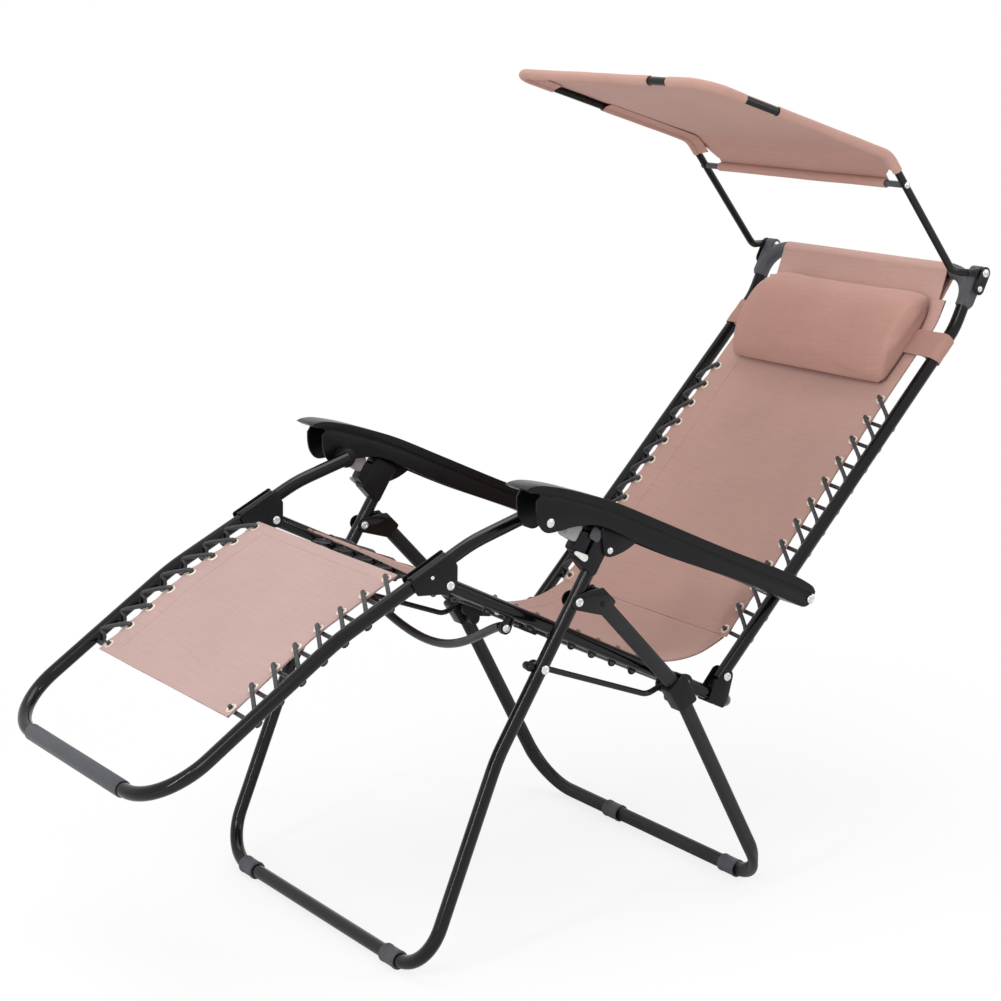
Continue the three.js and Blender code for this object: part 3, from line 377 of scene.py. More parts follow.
@dataclass(frozen=True)
class Finishes:
    """All the lounger's finishes, built once."""

    gloss_black: bpy.types.Material
    satin_grey: bpy.types.Material
    bent_rod: bpy.types.Material
    canopy_black: bpy.types.Material
    black_plastic: bpy.types.Material
    soft_black: bpy.types.Material
    grey_plastic: bpy.types.Material
    pale_plastic: bpy.types.Material
    white_plastic: bpy.types.Material
    plated: bpy.types.Material
    ring: bpy.types.Material
    sling: bpy.types.Material
    # Painted highlight: the sling's rose cloth made paler and greyer, for the leg rest.
    rest_sling: bpy.types.Material
    canopy_cloth: bpy.types.Material
    pillow_cloth: bpy.types.Material
    strap_cloth: bpy.types.Material
    cord: bpy.types.Material

    @classmethod
    def build(cls) -> "Finishes":
        """Make every material."""
        rose = (184.0, 148.0, 138.0)
        return cls(
            gloss_black=PowderCoat("gloss_black_coat", 7, 0.12, 0.00002).make(),
            satin_grey=PowderCoat("satin_grey_coat", 26, 0.4, 0.00003).make(),
            bent_rod=PowderCoat("rod_coat", 14, 0.28).make(),
            canopy_black=PowderCoat("canopy_tube_coat", 14, 0.34).make(),
            black_plastic=MouldedPlastic("arm_plastic", (11, 11, 14), 0.28).make(),
            soft_black=MouldedPlastic("bracket_plastic", (14, 14, 17), 0.36).make(),
            grey_plastic=MouldedPlastic("grey_plastic", (74, 75, 80), 0.45).make(),
            pale_plastic=MouldedPlastic("pale_plastic", (150, 150, 150), 0.4).make(),
            white_plastic=MouldedPlastic("white_plastic", (205, 205, 202), 0.4).make(),
            plated=PlatedSteel("rivet_steel", (214, 214, 210), 0.28).make(),
            ring=PlatedSteel("grommet_ring", (228, 221, 205), 0.34, 0.35).make(),
            sling=WovenCloth("sling_cloth", rose).make(),
            # Painted highlight: the leg rest's cloth is the sling's rose made paler and greyer, standing in for the
            # light that falls on it.
            rest_sling=WovenCloth("rest_sling_cloth", (183.0, 154.0, 148.0)).make(),
            canopy_cloth=WovenCloth("canopy_cloth", (185.0, 145.0, 133.0)).make(),
            pillow_cloth=WovenCloth("pillow_cloth", (181.0, 139.0, 127.0)).make(),
            strap_cloth=WovenCloth("strap_cloth", (166.0, 127.0, 115.0)).make(),
            cord=ElasticCord("elastic_cord").make(),
        )


# Places in the side view


@dataclass(frozen=True)
class Line:
    """A straight reference line in the side plane, told by its origin and direction."""

    origin: Place
    along: Place

    def at(self, run: float, rise: float = 0.0) -> Place:
        """The place, in metres, at a run along the line and a rise to its left, both in mm."""
        (x, z), (ax, az) = self.origin, self.along
        return (x + (ax * run - az * rise) * MM, z + (az * run + ax * rise) * MM)


APEX = (-0.10044, 0.552)
LINK_PIN = (-0.16136, 0.45564)
SEAT_PIVOT = (0.14378, 0.37164)
BACK_PIVOT = (0.23257, 0.36651)
KNEE = (-0.29944, 0.5965)
ARM_PIVOT = (0.35160, 0.49151)
REST_TOP = (-0.15301, 0.68153)
CANOPY_PIVOT = (0.78207, 0.98614)
ROD_PIN = (0.09731, 0.38596)
FRONT_LEG = Line(APEX, (0.53435, 0.84526))
REAR_LEG = Line((-0.06349, 0.55631), (0.68072, -0.73254))
REAR_FOOT = Line((0.10056, 0.37976), (0.46484, -0.88539))
SEAT = Line(KNEE, (0.89180, -0.45243))
BACK = Line(BACK_PIVOT, (0.68962, 0.72417))
BACK_TOP = Line((0.73323, 0.89226), (0.43837, 0.89880))
REST_MID = Line((-0.25202, 0.65314), (-0.89803, -0.43994))
REST_BEND = 262
REST_FOOT = Line(REST_MID.at(REST_BEND), (-0.83292, -0.55339))
BACK_BEND = 726
BEND_REACH = 26
ARM = Line(REST_TOP, (0.93585, -0.35241))
CANOPY_TOP = Line((0.57342, 1.19382), (-0.95155, 0.30750))
ARM_SPAN = 539.2
ARM_DEPTH = 58.0
RAIL = 0.265
LEG = 0.315
ARM_IN = 0.287
ARM_OUT = 0.343
TUBE = 0.011


def spot(place: Place, y: float) -> Vector:
    """The point of a side-view place at a distance from the centre plane."""
    return Vector((place[0], y, place[1]))


def bent(low: Place, mid: Place, high: Place, share: float) -> Place:
    """A place on the soft curve from one place to a last one, drawn toward the middle one."""
    return tuple((1 - share) ** 2 * a + 2 * share * (1 - share) * m + share ** 2 * b
                 for a, m, b in zip(low, mid, high))


def back_at(run: float, rise: float) -> Place:
    """A place along the back, past its bend near the top.

    Args:
        run: Distance from the back's pivot, in mm.
        rise: Distance to the left of the tube, in mm.

    Returns:
        X and Z in metres.
    """
    low, high = BACK_BEND - BEND_REACH, BACK_BEND + BEND_REACH
    if run < low:
        return BACK.at(run, rise)
    if run > high:
        return BACK_TOP.at(run - BACK_BEND, rise)
    mid = BACK.at(BACK_BEND - 0.12 * rise, rise)
    return bent(BACK.at(low, rise), mid, BACK_TOP.at(BEND_REACH, rise), (run - low) / (high - low))


def rest_at(run: float, rise: float) -> Place:
    """A place along the leg rest, its bend taken softly.

    Args:
        run: Distance along the tube, in mm.
        rise: Distance above the tube, in mm.

    Returns:
        X and Z in metres.
    """
    low, high = REST_BEND - BEND_REACH, REST_BEND + BEND_REACH
    if run < low:
        return REST_MID.at(run, -rise)
    if run > high:
        return REST_FOOT.at(run - REST_BEND, -rise)
    mid = REST_MID.at(REST_BEND, -rise)
    return bent(REST_MID.at(low, -rise), mid, REST_FOOT.at(BEND_REACH, -rise), (run - low) / (high - low))


def arm_at(run: float, rise: float) -> Place:
    """A place on the armrest, told in shares of its span and depth."""
    return ARM.at(run * ARM_SPAN, rise * ARM_DEPTH)


def blended(places: Sequence[Place], share: float) -> Place:
    """A place between two, by share."""
    (ax, az), (bx, bz) = places
    return (ax + (bx - ax) * share, az + (bz - az) * share)


# Modelling


def deselect() -> None:
    """Leave nothing selected or active."""
    for thing in list(bpy.context.selected_objects):
        thing.select_set(False)
    bpy.context.view_layer.objects.active = None


def pick(piece: bpy.types.Object) -> None:
    """Select one piece and make it active."""
    deselect()
    piece.select_set(True)
    bpy.context.view_layer.objects.active = piece


def settle(piece: bpy.types.Object, name: str, finish: bpy.types.Material) -> bpy.types.Object:
    """Put a finished piece's place into its mesh, name it and give it its finish.

    Args:
        piece: The piece.
        name: Its name.
        finish: Its material.

    Returns:
        The same piece.
    """
    pick(piece)
    bpy.ops.object.transform_apply(location=True, rotation=True, scale=True)
    piece.name = name
    piece.data.name = name
    piece.data.materials.clear()
    piece.data.materials.append(finish)
    return piece


@contextmanager
def edited(piece: bpy.types.Object) -> Iterator[None]:
    """Open a piece in edit mode, all of it selected, and turn its faces outward at the end.

    Args:
        piece: The piece.

    Yields:
        Nothing, while the piece is open.
    """
    pick(piece)
    bpy.ops.object.mode_set(mode="EDIT")
    bpy.ops.mesh.select_all(action="SELECT")
    yield
    bpy.ops.mesh.select_all(action="SELECT")
    bpy.ops.mesh.normals_make_consistent(inside=False)
    bpy.ops.object.mode_set(mode="OBJECT")


def tidy(piece: bpy.types.Object, merge: float = 0.00002) -> None:
    """Merge doubles and turn the faces outward."""
    with edited(piece):
        bpy.ops.mesh.remove_doubles(threshold=merge)


def smooth(piece: bpy.types.Object, degrees: float = 38.0) -> None:
    """Shade smooth below an angle."""
    pick(piece)
    bpy.ops.object.shade_smooth_by_angle(angle=math.radians(degrees))


def modify(piece: bpy.types.Object, kind: str, **settings: object) -> None:
    """Add a modifier and apply it.

    Args:
        piece: The piece.
        kind: The modifier's type.
        **settings: Its properties.
    """
    pick(piece)
    made = piece.modifiers.new(kind.title(), kind)
    for key, value in settings.items():
        setattr(made, key, value)
    bpy.ops.object.modifier_apply(modifier=made.name)


def joined(pieces: Sequence[bpy.types.Object], name: str) -> bpy.types.Object:
    """Join pieces into one object.

    Args:
        pieces: The pieces, the first of which is kept.
        name: The name it gets.

    Returns:
        The joined object.
    """
    deselect()
    for piece in pieces:
        piece.select_set(True)
    bpy.context.view_layer.objects.active = pieces[0]
    bpy.ops.object.join()
    pieces[0].name = name
    return pieces[0]


def cut_with(piece: bpy.types.Object, tool: bpy.types.Object) -> None:
    """Cut a tool out of a piece and remove the tool."""
    modify(piece, "BOOLEAN", operation="DIFFERENCE", object=tool, solver="EXACT")
    bpy.data.objects.remove(tool, do_unlink=True)


def rounded_route(points: Sequence[Vector], radii: Sequence[float], step: float = 6.0) -> list[Vector]:
    """A route of straight runs whose corners are rounded.

    Args:
        points: The corners, in metres.
        radii: Each corner's radius.
        step: The turn between two stations, in degrees.

    Returns:
        The stations.
    """
    route = [points[0]]
    for before, here, after, radius in zip(points, points[1:], points[2:], radii[1:]):
        one, two = (here - before).normalized(), (after - here).normalized()
        turn = one.angle(two)
        if turn < 0.01 or radius == 0:
            route.append(here)
            continue
        trim = radius * math.tan(turn / 2)
        start = here - one * trim
        axis = one.cross(two).normalized()
        centre = start + axis.cross(one) * radius
        count = max(3, math.ceil(math.degrees(turn) / step))
        for i in range(count + 1):
            route.append(centre + Matrix.Rotation(turn * i / count, 3, axis) @ (start - centre))
    return [*route, points[-1]]


def u_route(places: Sequence[Place], half: float, radii: Sequence[float], step: float = 6.0) -> list[Vector]:
    """The route of a U-shaped frame, from one side's places and their mirror.

    Args:
        places: One side's places.
        half: Its distance from the centre plane.
        radii: Each corner's radius.
        step: The turn between two stations, in degrees.

    Returns:
        The stations.
    """
    near = [spot(place, -half) for place in places]
    far = [spot(place, half) for place in reversed(places)]
    return rounded_route([*near, *far], [*radii, *reversed(radii)], step)


def subdivided(route: Sequence[Vector], step: float = 0.006) -> list[Vector]:
    """A route whose runs are cut into short steps.

    Args:
        route: The stations.
        step: About how long each step is, in metres.

    Returns:
        The finer stations.
    """
    fine = [route[0]]
    for a, b in zip(route, route[1:]):
        count = max(1, round((b - a).length / step))
        fine += [a.lerp(b, (i + 1) / count) for i in range(count)]
    return fine


def lengths_along(places: Sequence[Sequence[float]], start: float = 0.0) -> list[float]:
    """The length travelled at each place of a route.

    Args:
        places: The route.
        start: The length at its first place.

    Returns:
        One length a place.
    """
    lengths = [start]
    for a, b in zip(places, places[1:]):
        lengths.append(lengths[-1] + math.dist(a, b))
    return lengths


def swept(route: Sequence[Vector], radius: float, ring: int = 6, oval: float = 0.0) -> bpy.types.Object:
    """A tube swept along a route by a bevelled path.

    Args:
        route: The stations.
        radius: The tube's radius, or half its width when oval.
        ring: How fine the ring is.
        oval: Half the tube's depth in the side plane, when it isn't round.

    Returns:
        The tube.
    """
    deselect()
    bpy.ops.curve.primitive_nurbs_path_add(location=(0, 0, 0))
    path = bpy.context.object
    path.data.dimensions = "3D"
    path.data.twist_mode = "Z_UP" if oval else "MINIMUM"
    path.data.splines.clear()
    line = path.data.splines.new("POLY")
    line.points.add(len(route) - 1)
    line.points.foreach_set("co", [c for place in route for c in (*place, 1.0)])
    if oval:
        path.data.bevel_mode = "OBJECT"
        path.data.bevel_object = oval_section(radius, oval)
    else:
        path.data.bevel_depth = radius
        path.data.bevel_resolution = ring
    path.data.use_fill_caps = True
    section = path.data.bevel_object
    pick(path)
    bpy.ops.object.convert(target="MESH")
    tube = bpy.context.object
    if section:
        bpy.data.objects.remove(section, do_unlink=True)
    tidy(tube)
    smooth(tube)
    return tube


def oval_section(width: float, depth: float) -> bpy.types.Object:
    """A flat oval curve for a swept tube.

    Args:
        width: Half its width.
        depth: Half its depth.

    Returns:
        The curve.
    """
    bpy.ops.curve.primitive_bezier_circle_add(location=(0, 0, 0))
    section = bpy.context.object
    section.data.splines.clear()
    ring = section.data.splines.new("POLY")
    places = []
    for i in range(32):
        angle = 2 * math.pi * (i + 0.5) / 32
        shift = (depth - width) * (1 if math.sin(angle) > 0 else -1)
        places.append((width * math.cos(angle), width * math.sin(angle) + shift))
    ring.points.add(len(places) - 1)
    ring.points.foreach_set("co", [c for x, y in places for c in (x, y, 0.0, 1.0)])
    ring.use_cyclic_u = True
    return section


def plate(outline: Sequence[Place], low: float, high: float, bevel: float = 0.001,
          segments: int = 2) -> bpy.types.Object:
    """A plate standing in the side plane: a polygon drawn as a circle's face and extruded across.

    Args:
        outline: The plate's corners, as X and Z.
        low: Its lower Y.
        high: Its higher Y.
        bevel: How far its edges are rounded.
        segments: How finely they are rounded.

    Returns:
        The plate.
    """
    low, high = min(low, high), max(low, high)
    deselect()
    bpy.ops.mesh.primitive_circle_add(vertices=len(outline), radius=1, fill_type="NGON", location=(0, 0, 0))
    piece = bpy.context.object
    for vertex, place in zip(piece.data.vertices, outline):
        vertex.co = spot(place, low)
    with edited(piece):
        bpy.ops.mesh.extrude_region_move(TRANSFORM_OT_translate={"value": (0, high - low, 0)})
    if bevel:
        modify(piece, "BEVEL", width=bevel, segments=segments, limit_method="ANGLE", angle_limit=math.radians(35))
    smooth(piece)
    return piece


def disc_outline(discs: Sequence[tuple[Place, float]], count: int = 40) -> list[Place]:
    """The convex outline round a set of discs in the side plane.

    Args:
        discs: Each disc's centre and its radius in metres.
        count: How many places each circle is told by.

    Returns:
        The outline, going round once.
    """
    turns = [2 * math.pi * i / count for i in range(count)]
    places = sorted({(x + r * math.cos(t), z + r * math.sin(t)) for (x, z), r in discs for t in turns})

    def chain(ordered: Iterable[Place]) -> list[Place]:
        """One half of the hull."""
        out: list[Place] = []
        for place in ordered:
            while len(out) > 1:
                (ax, az), (bx, bz) = out[-2], out[-1]
                if (bx - ax) * (place[1] - az) - (bz - az) * (place[0] - ax) > 1e-12:
                    break
                out.pop()
            out.append(place)
        return out[:-1]

    return [*chain(places), *chain(reversed(places))]


def rounded(line: Line, corners: Sequence[Place], radius: float, count: int = 24) -> list[Place]:
    """The outline round corners told along a line, each as round as the radius."""
    return disc_outline([(line.at(*corner), radius) for corner in corners], count)


def open_up(piece: bpy.types.Object) -> None:
    """Delete the edge that joins a circle's last vertex to its first, in edit mode."""
    last = len(piece.data.vertices) - 1
    bpy.ops.mesh.select_all(action="DESELECT")
    bpy.ops.object.mode_set(mode="OBJECT")
    for edge in piece.data.edges:
        edge.select = set(edge.vertices) == {0, last}
    bpy.ops.object.mode_set(mode="EDIT")
    bpy.ops.mesh.select_mode(type="EDGE")
    bpy.ops.mesh.delete(type="EDGE_FACE")
    bpy.ops.mesh.select_mode(type="VERT")


def turned_part(place: Place, profile: Sequence[Place], count: int = 40, closed: bool = False) -> bpy.types.Object:
    """A round part along Y, spun from its profile of radius and Y.

    Args:
        place: The axis' place in the side plane.
        profile: Radius and Y of each ring, in metres.
        count: How many steps the spin has.
        closed: Whether the profile goes round once and meets itself.

    Returns:
        The part.
    """
    deselect()
    bpy.ops.mesh.primitive_circle_add(vertices=len(profile), radius=1, fill_type="NOTHING", location=(0, 0, 0))
    piece = bpy.context.object
    for vertex, (radius, y) in zip(piece.data.vertices, profile):
        vertex.co = (place[0] + radius, y, place[1])
    with edited(piece):
        if not closed:
            open_up(piece)
        bpy.ops.mesh.select_all(action="SELECT")
        bpy.ops.mesh.spin(steps=count, angle=2 * math.pi, center=(place[0], 0, place[1]), axis=(0, 1, 0))
        bpy.ops.mesh.select_all(action="SELECT")
        bpy.ops.mesh.remove_doubles(threshold=0.00001)
    smooth(piece, 40)
    return piece


def turned_ring(place: Place, profile: Sequence[Place], count: int = 40) -> bpy.types.Object:
    """A hollow round part along Y, spun from a closed profile off its axis."""
    return turned_part(place, profile, count, closed=True)


def turned(outlines: Sequence[Place], side: Side) -> list[Place]:
    """A profile told for the right side, mirrored for the left."""
    return [(radius, y * side.value) for radius, y in outlines]


def both_ends(edge: Sequence[Place], half: float) -> list[Place]:
    """A profile with two like ends, from the radius and depth of one end's places."""
    return [(r, deep - half) for r, deep in edge] + [(r, half - deep) for r, deep in reversed(edge)]


RIVET_CROWN = ((1, 0), (1, 0.35), (0.9, 0.75), (0.68, 1), (0.52, 1), (0.44, 0.8), (0.4, 0.35), (0, 0.3))
BOLT_CROWN = ((1, 0), (1, 0.4), (0.85, 0.85), (0.6, 1), (0.45, 1), (0.36, 0.7), (0, 0.65))
RIVET_HEAD = 0.007
RIVET_TALL = 0.0026
RIVET_SHANK = 0.004


def pin(place: Place, side: Side, low: float, high: float, crown: Sequence[Place] = RIVET_CROWN,
        collar: Sequence[Place] = ()) -> bpy.types.Object:
    """A tubular rivet along Y, with a ringed head at each end.

    Args:
        place: Its place in the side plane.
        side: The side it stands on.
        low: Where its inner head starts, from the centre plane.
        high: Where its outer head starts.
        crown: The heads' profile, as shares of their radius and height.
        collar: Radius and Y of a thicker stretch between them.

    Returns:
        The rivet.
    """
    inner = [(r * RIVET_HEAD, low - h * RIVET_TALL) for r, h in reversed(crown)]
    outer = [(r * RIVET_HEAD, high + h * RIVET_TALL) for r, h in crown]
    profile = [*inner, (RIVET_SHANK, low), *collar, (RIVET_SHANK, high), *outer]
    return turned_part(place, turned(profile, side))


def round_head(place: Place, y: float, out: int, head: float = 0.007, tall: float = 0.003) -> bpy.types.Object:
    """A plain domed head on a face.

    Args:
        place: Its place in the side plane.
        y: Where it stands.
        out: The way it points along Y.
        head: Its radius.
        tall: Its height.

    Returns:
        The head.
    """
    steps = [math.pi / 2 * i / 7 for i in range(8)]
    dome = [(head * math.cos(t), y + out * tall * math.sin(t)) for t in steps]
    return turned_part(place, [(0, y - out * 0.001), (head, y - out * 0.001), *dome])


class Part:
    """A sub-assembly that models its pieces and hands them to the frame."""

    def __init__(self, finishes: Finishes) -> None:
        """Keep the finishes.

        Args:
            finishes: The lounger's finishes.
        """
        self.finishes = finishes

    def add(self, piece: bpy.types.Object, name: str, finish: bpy.types.Material, body: str,
            nodes: Sequence[str], slot: str) -> bpy.types.Object:
        """Finish a piece, let it ride its body and replace the frame's plain nodes.

        Args:
            piece: The piece.
            name: Its name.
            finish: Its material.
            body: The body it rides.
            nodes: The nodes it takes the place of.
            slot: The frame's material slot it belongs to; not used.

        Returns:
            The piece.
        """
        settle(piece, name, finish)
        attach(piece, body)
        if nodes:
            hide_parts(*nodes)
        LOG.info("%s: %d faces, rides %s", name, len(piece.data.polygons), body)
        return piece

    def bright(self, piece: bpy.types.Object, name: str, body: str, *nodes: str) -> None:
        """Add a rivet, screw or head of bright plated steel."""
        self.add(piece, name, self.finishes.plated, body, nodes, "rivet_steel")

    def dark(self, piece: bpy.types.Object, name: str, body: str, *nodes: str) -> None:
        """Add a piece of soft black plastic."""
        self.add(piece, name, self.finishes.soft_black, body, nodes, "black_plastic")

    def hinge(self, name: str, side: Side, bracket: bpy.types.Object, pivot: Place, body: str) -> None:
        """Add a forked bracket and the rivet through its cheeks.

        Args:
            name: The hinge's name.
            side: The lounger's side.
            bracket: The bracket.
            pivot: The rivet's place.
            body: The body the bracket rides.
        """
        word = side.word
        self.add(bracket, f"{name}_fork_{word}", self.finishes.black_plastic, body, [f"{name}_bracket_{word}"],
                 "black_plastic")
        rivet = pin(pivot, side, 0.25045, 0.27955)
        self.bright(rivet, f"{name}_rivet_{word}", f"{name}_pivots", f"{name}_pin_{word}")


class Legs(Part):
    """The two crossed U-shaped legs with their feet, brackets and pins."""

    @dataclass(frozen=True)
    class Sizes:
        """Sizes of the legs, in metres."""

        corner: float = 0.075
        rear_corner: float = 0.08
        rear_knee: float = 0.06
        bend: float = 0.25
        rear_width: float = 0.008
        rear_depth: float = 0.0125
        foot_half: float = 0.02
        foot_radius: float = 0.015
        foot_reach: float = 0.225
        foot_reach_right: float = 0.1
        front_bore: float = 0.0115

    def build(self) -> None:
        """Model both legs."""
        sizes = self.Sizes()
        bend = FRONT_LEG.at(-265)
        drop = (bend[1] - sizes.foot_radius) / 0.92254
        foot = (bend[0] - 0.38590 * drop, sizes.foot_radius)
        route = u_route([FRONT_LEG.at(72), bend, foot], LEG, [0, sizes.bend, sizes.corner])
        self.add(swept(route, TUBE, 10), "front_leg_tube", self.finishes.gloss_black, "front_leg_body",
                 ["front_leg"], "gloss_tube")
        floor = (REAR_FOOT.at(412.0)[0], sizes.foot_radius)
        route = u_route([REAR_LEG.origin, REAR_FOOT.origin, floor], LEG, [0, sizes.rear_knee, sizes.rear_corner])
        tube = swept(route, sizes.rear_width, oval=sizes.rear_depth)
        self.add(tube, "rear_leg_tube", self.finishes.satin_grey, "rear_leg_body", ["rear_leg"], "satin_tube")
        for side in Side:
            self._foot("front", side, foot, side.value * sizes.foot_reach, sizes.front_bore)
            self._bracket(side)
        self._foot("rear", Side.LEFT, floor, -sizes.foot_reach, sizes.rear_depth)
        self._foot("rear", Side.RIGHT, floor, sizes.foot_reach_right, sizes.rear_depth)

    def _foot(self, leg: str, side: Side, place: Place, y: float, bore: float) -> None:
        """Model one plastic floor sleeve.

        Args:
            leg: The leg it is on, as the frame's nodes use it.
            side: The lounger's side.
            place: Its place in the side plane.
            y: The middle of its length.
            bore: The radius of its bore.
        """
        half, outer = self.Sizes.foot_half, self.Sizes.foot_radius
        edge = [(bore, 0), (outer - 0.0015, 0), (outer, 0.0015), (outer, 0.004), (outer - 0.0006, 0.0048)]
        ring = [(r, y + h) for r, h in [*both_ends(edge, half), (bore, 0)]]
        self.add(turned_ring(place, ring, 48), f"{leg}_foot_sleeve_{side.word}", self.finishes.grey_plastic,
                 f"{leg}_leg_body", [f"{leg}_foot_{side.word}"], "grey_plastic")

    def _bracket(self, side: Side) -> None:
        """Model the forked bracket between the legs, its rivet and its nut.

        Args:
            side: The lounger's side.
        """
        line, s = REAR_LEG, side.value
        corners = [(line.at(run, h), 0.004) for run, rise in ((-1, 10.48), (29, 11.135)) for h in (-rise, rise)]
        cheek = disc_outline([(APEX, 0.013), *corners], 48)
        socket = rounded(line, [(1, -9), (1, 9), (27, -9), (27, 9)], 0.0035)
        pieces = [plate(cheek, s * (LEG + k * 0.0119), s * (LEG + k * 0.0143), 0.0008) for k in (-1, 1)]
        pieces += [plate(rounded(line, [(3, h), (29, h)], 0.0022), s * (LEG - 0.0125), s * (LEG + 0.0125), 0.0006)
                   for h in (11.79, -11.79)]
        pieces += [plate(socket, s * (LEG + k * 0.0118), s * (LEG + k * 0.0082), 0.0005) for k in (-1, 1)]
        self.add(joined(pieces, "fork"), f"apex_fork_{side.word}", self.finishes.gloss_black, "rear_leg_body",
                 [f"leg_bracket_{side.word}"], "satin_tube")
        rivet = pin(APEX, side, LEG - 0.01465, LEG + 0.01465)
        self.bright(rivet, f"apex_rivet_{side.word}", "rear_leg_body", f"leg_pin_{side.word}")
        cap = round_head(line.at(16, -3), s * (LEG + 0.0143), s, 0.0048, 0.003)
        self.dark(cap, f"apex_cap_{side.word}", "rear_leg_body")


class Linkage(Part):
    """The sliding sleeves, their bent rods and the pins of the folding linkage."""

    def build(self) -> None:
        """Model both sides."""
        for side in Side:
            self._sleeve(side)
            self._rod(side)

    def _sleeve(self, side: Side) -> None:
        """Model the sliding sleeve with its arched ear.

        Args:
            side: The lounger's side.
        """
        s = side.value
        upper = Line(REAR_FOOT.origin, REAR_LEG.along)
        corners = [REAR_FOOT.at(30, -13.4), REAR_FOOT.at(30, 13.4), REAR_FOOT.at(-13.5, 13.4), upper.at(-13.5, -13.4)]
        shell = plate(disc_outline([(c, 0.0045) for c in corners], 40), s * 0.3015, s * 0.3285, 0.0016, 3)
        for line, reach in ((REAR_FOOT, 60), (upper, 8)):
            bore = [line.at(run, h) for run, h in ((-60, -12.9), (reach, -12.9), (reach, 12.9), (-60, 12.9))]
            cut_with(shell, plate(bore, s * 0.3065, s * 0.3235, 0))
        ends = (REAR_FOOT.origin, SEAT_PIVOT)
        ear = plate(disc_outline([(end, 0.0148) for end in ends], 44), s * 0.2777, s * 0.2832, 0.0012, 3)
        rim = plate(disc_outline([(end, 0.0105) for end in ends], 44), s * 0.2828, s * 0.2845, 0.0006)
        block = plate(rounded(REAR_FOOT, [(26, 0), (20, 4)], 0.0098, 40), s * 0.2779, s * 0.3045)
        whole = joined([shell, ear, rim, block], "sleeve")
        smooth(whole)
        self.dark(whole, f"sleeve_housing_{side.word}", "sleeves", f"slide_sleeve_{side.word}")
        rivet = pin(SEAT_PIVOT, side, 0.25365, 0.28375)
        self.bright(rivet, f"seat_rivet_{side.word}", "seat_pivots", f"seat_pin_{side.word}")

    def _rod(self, side: Side) -> None:
        """Model the bent rod between the front leg and the sleeve, with flattened eyes.

        Args:
            side: The lounger's side.
        """
        s = side.value
        y = s * 0.2956
        kick = (ROD_PIN[0] - 0.042, ROD_PIN[1] - 0.014)
        rod = swept(rounded_route([spot(p, y) for p in (LINK_PIN, kick, ROD_PIN)], [0, 0.03, 0], 5), 0.0047, 6)
        eyes = [plate(disc_outline([(place, 0.0088)]), y - 0.003, y + 0.003, 0.0012, 3)
                for place in (LINK_PIN, ROD_PIN)]
        self.add(joined([rod, *eyes], "rod"), f"link_bar_{side.word}", self.finishes.bent_rod, "link_rods",
                 [f"link_rod_{side.word}"], "bent_rod")
        rear = round_head(ROD_PIN, y - s * 0.003, -s, 0.0058, 0.002)
        self.bright(rear, f"link_rear_head_{side.word}", "link_rods")
        collar = [(0.004, 0.3009), (0.0068, 0.3011), (0.0068, 0.3034), (0.004, 0.3036)]
        bolt = pin(LINK_PIN, side, 0.29025, 0.32635, BOLT_CROWN, collar)
        self.bright(bolt, f"link_bolt_{side.word}", "front_leg_body", f"link_pin_{side.word}")
        place = (LINK_PIN[0] - 0.0155, LINK_PIN[1] + 0.0035)
        knob = round_head(place, s * 0.3085, s, 0.0075, 0.009)
        stem = [(0, 0.2955), (0.0052, 0.2955), (0.0062, 0.2975), (0.0072, 0.309), (0, 0.309)]
        whole = joined([knob, turned_part(place, turned(stem, side))], "knob")
        tidy(whole)
        smooth(whole)
        self.dark(whole, f"link_knob_{side.word}", "front_leg_body")


class Seat(Part):
    """The seat rails, the bowed tube under them and the brackets of the back's hinge."""

    BOW = (135, -27)

    def build(self) -> None:
        """Model the seat's hard pieces."""
        rails = swept(u_route([SEAT.at(-9), SEAT.at(629)], RAIL, [0, 0.045]), TUBE, 10)
        tab = disc_outline([(SEAT.at(*self.BOW), 0.0098), (SEAT.at(135, -4), 0.008)])
        tabs = [plate(tab, side.value * 0.2631, side.value * 0.2669, 0.0007) for side in Side]
        whole = joined([rails, *tabs], "rails")
        smooth(whole)
        self.add(whole, "seat_rails", self.finishes.gloss_black, "seat", ["seat_frame"], "gloss_tube")
        plug = rounded(SEAT, [(-7, -10.6), (-9.4, -10.6), (-9.4, 10.6), (-10.6, 7.5), (-10.6, -7.5), (-7, 10.6)],
                       0.0004, 12)
        for side in Side:
            piece = plate(plug, side.value * 0.2555, side.value * 0.2745, 0.0012, 3)
            self.dark(piece, f"rail_plug_{side.word}", "seat")
        self._bowed_tube()
        for side in Side:
            self.hinge("back", side, fork(side, SEAT, 578.5, 14, 15, BACK_PIVOT), BACK_PIVOT, "seat")

    def _bowed_tube(self) -> None:
        """Model the tube bowed between the rails, with its end discs and rivets."""
        x, z = SEAT.at(*self.BOW)
        route = []
        for i in range(61):
            share = i / 30 - 1
            bow = math.cos(share * math.pi / 2) ** 1.15 if abs(share) < 1 else 0.0
            route.append(Vector((x + 0.025 * bow, share * 0.25165, z - 0.082 * bow)))
        ends = [plate(disc_outline([((x, z), 0.0101)], 44), side.value * 0.2577, side.value * 0.2627, 0.0016, 3)
                for side in Side]
        self.add(joined([swept(route, 0.007, 8), *ends], "bow"), "bowed_tube", self.finishes.bent_rod, "seat",
                 ["seat_cross_tube"], "bent_rod")
        for side in Side:
            head = round_head((x, z), side.value * 0.2669, side.value, 0.0066, 0.0028)
            self.bright(head, f"bowed_tube_head_{side.word}", "seat")


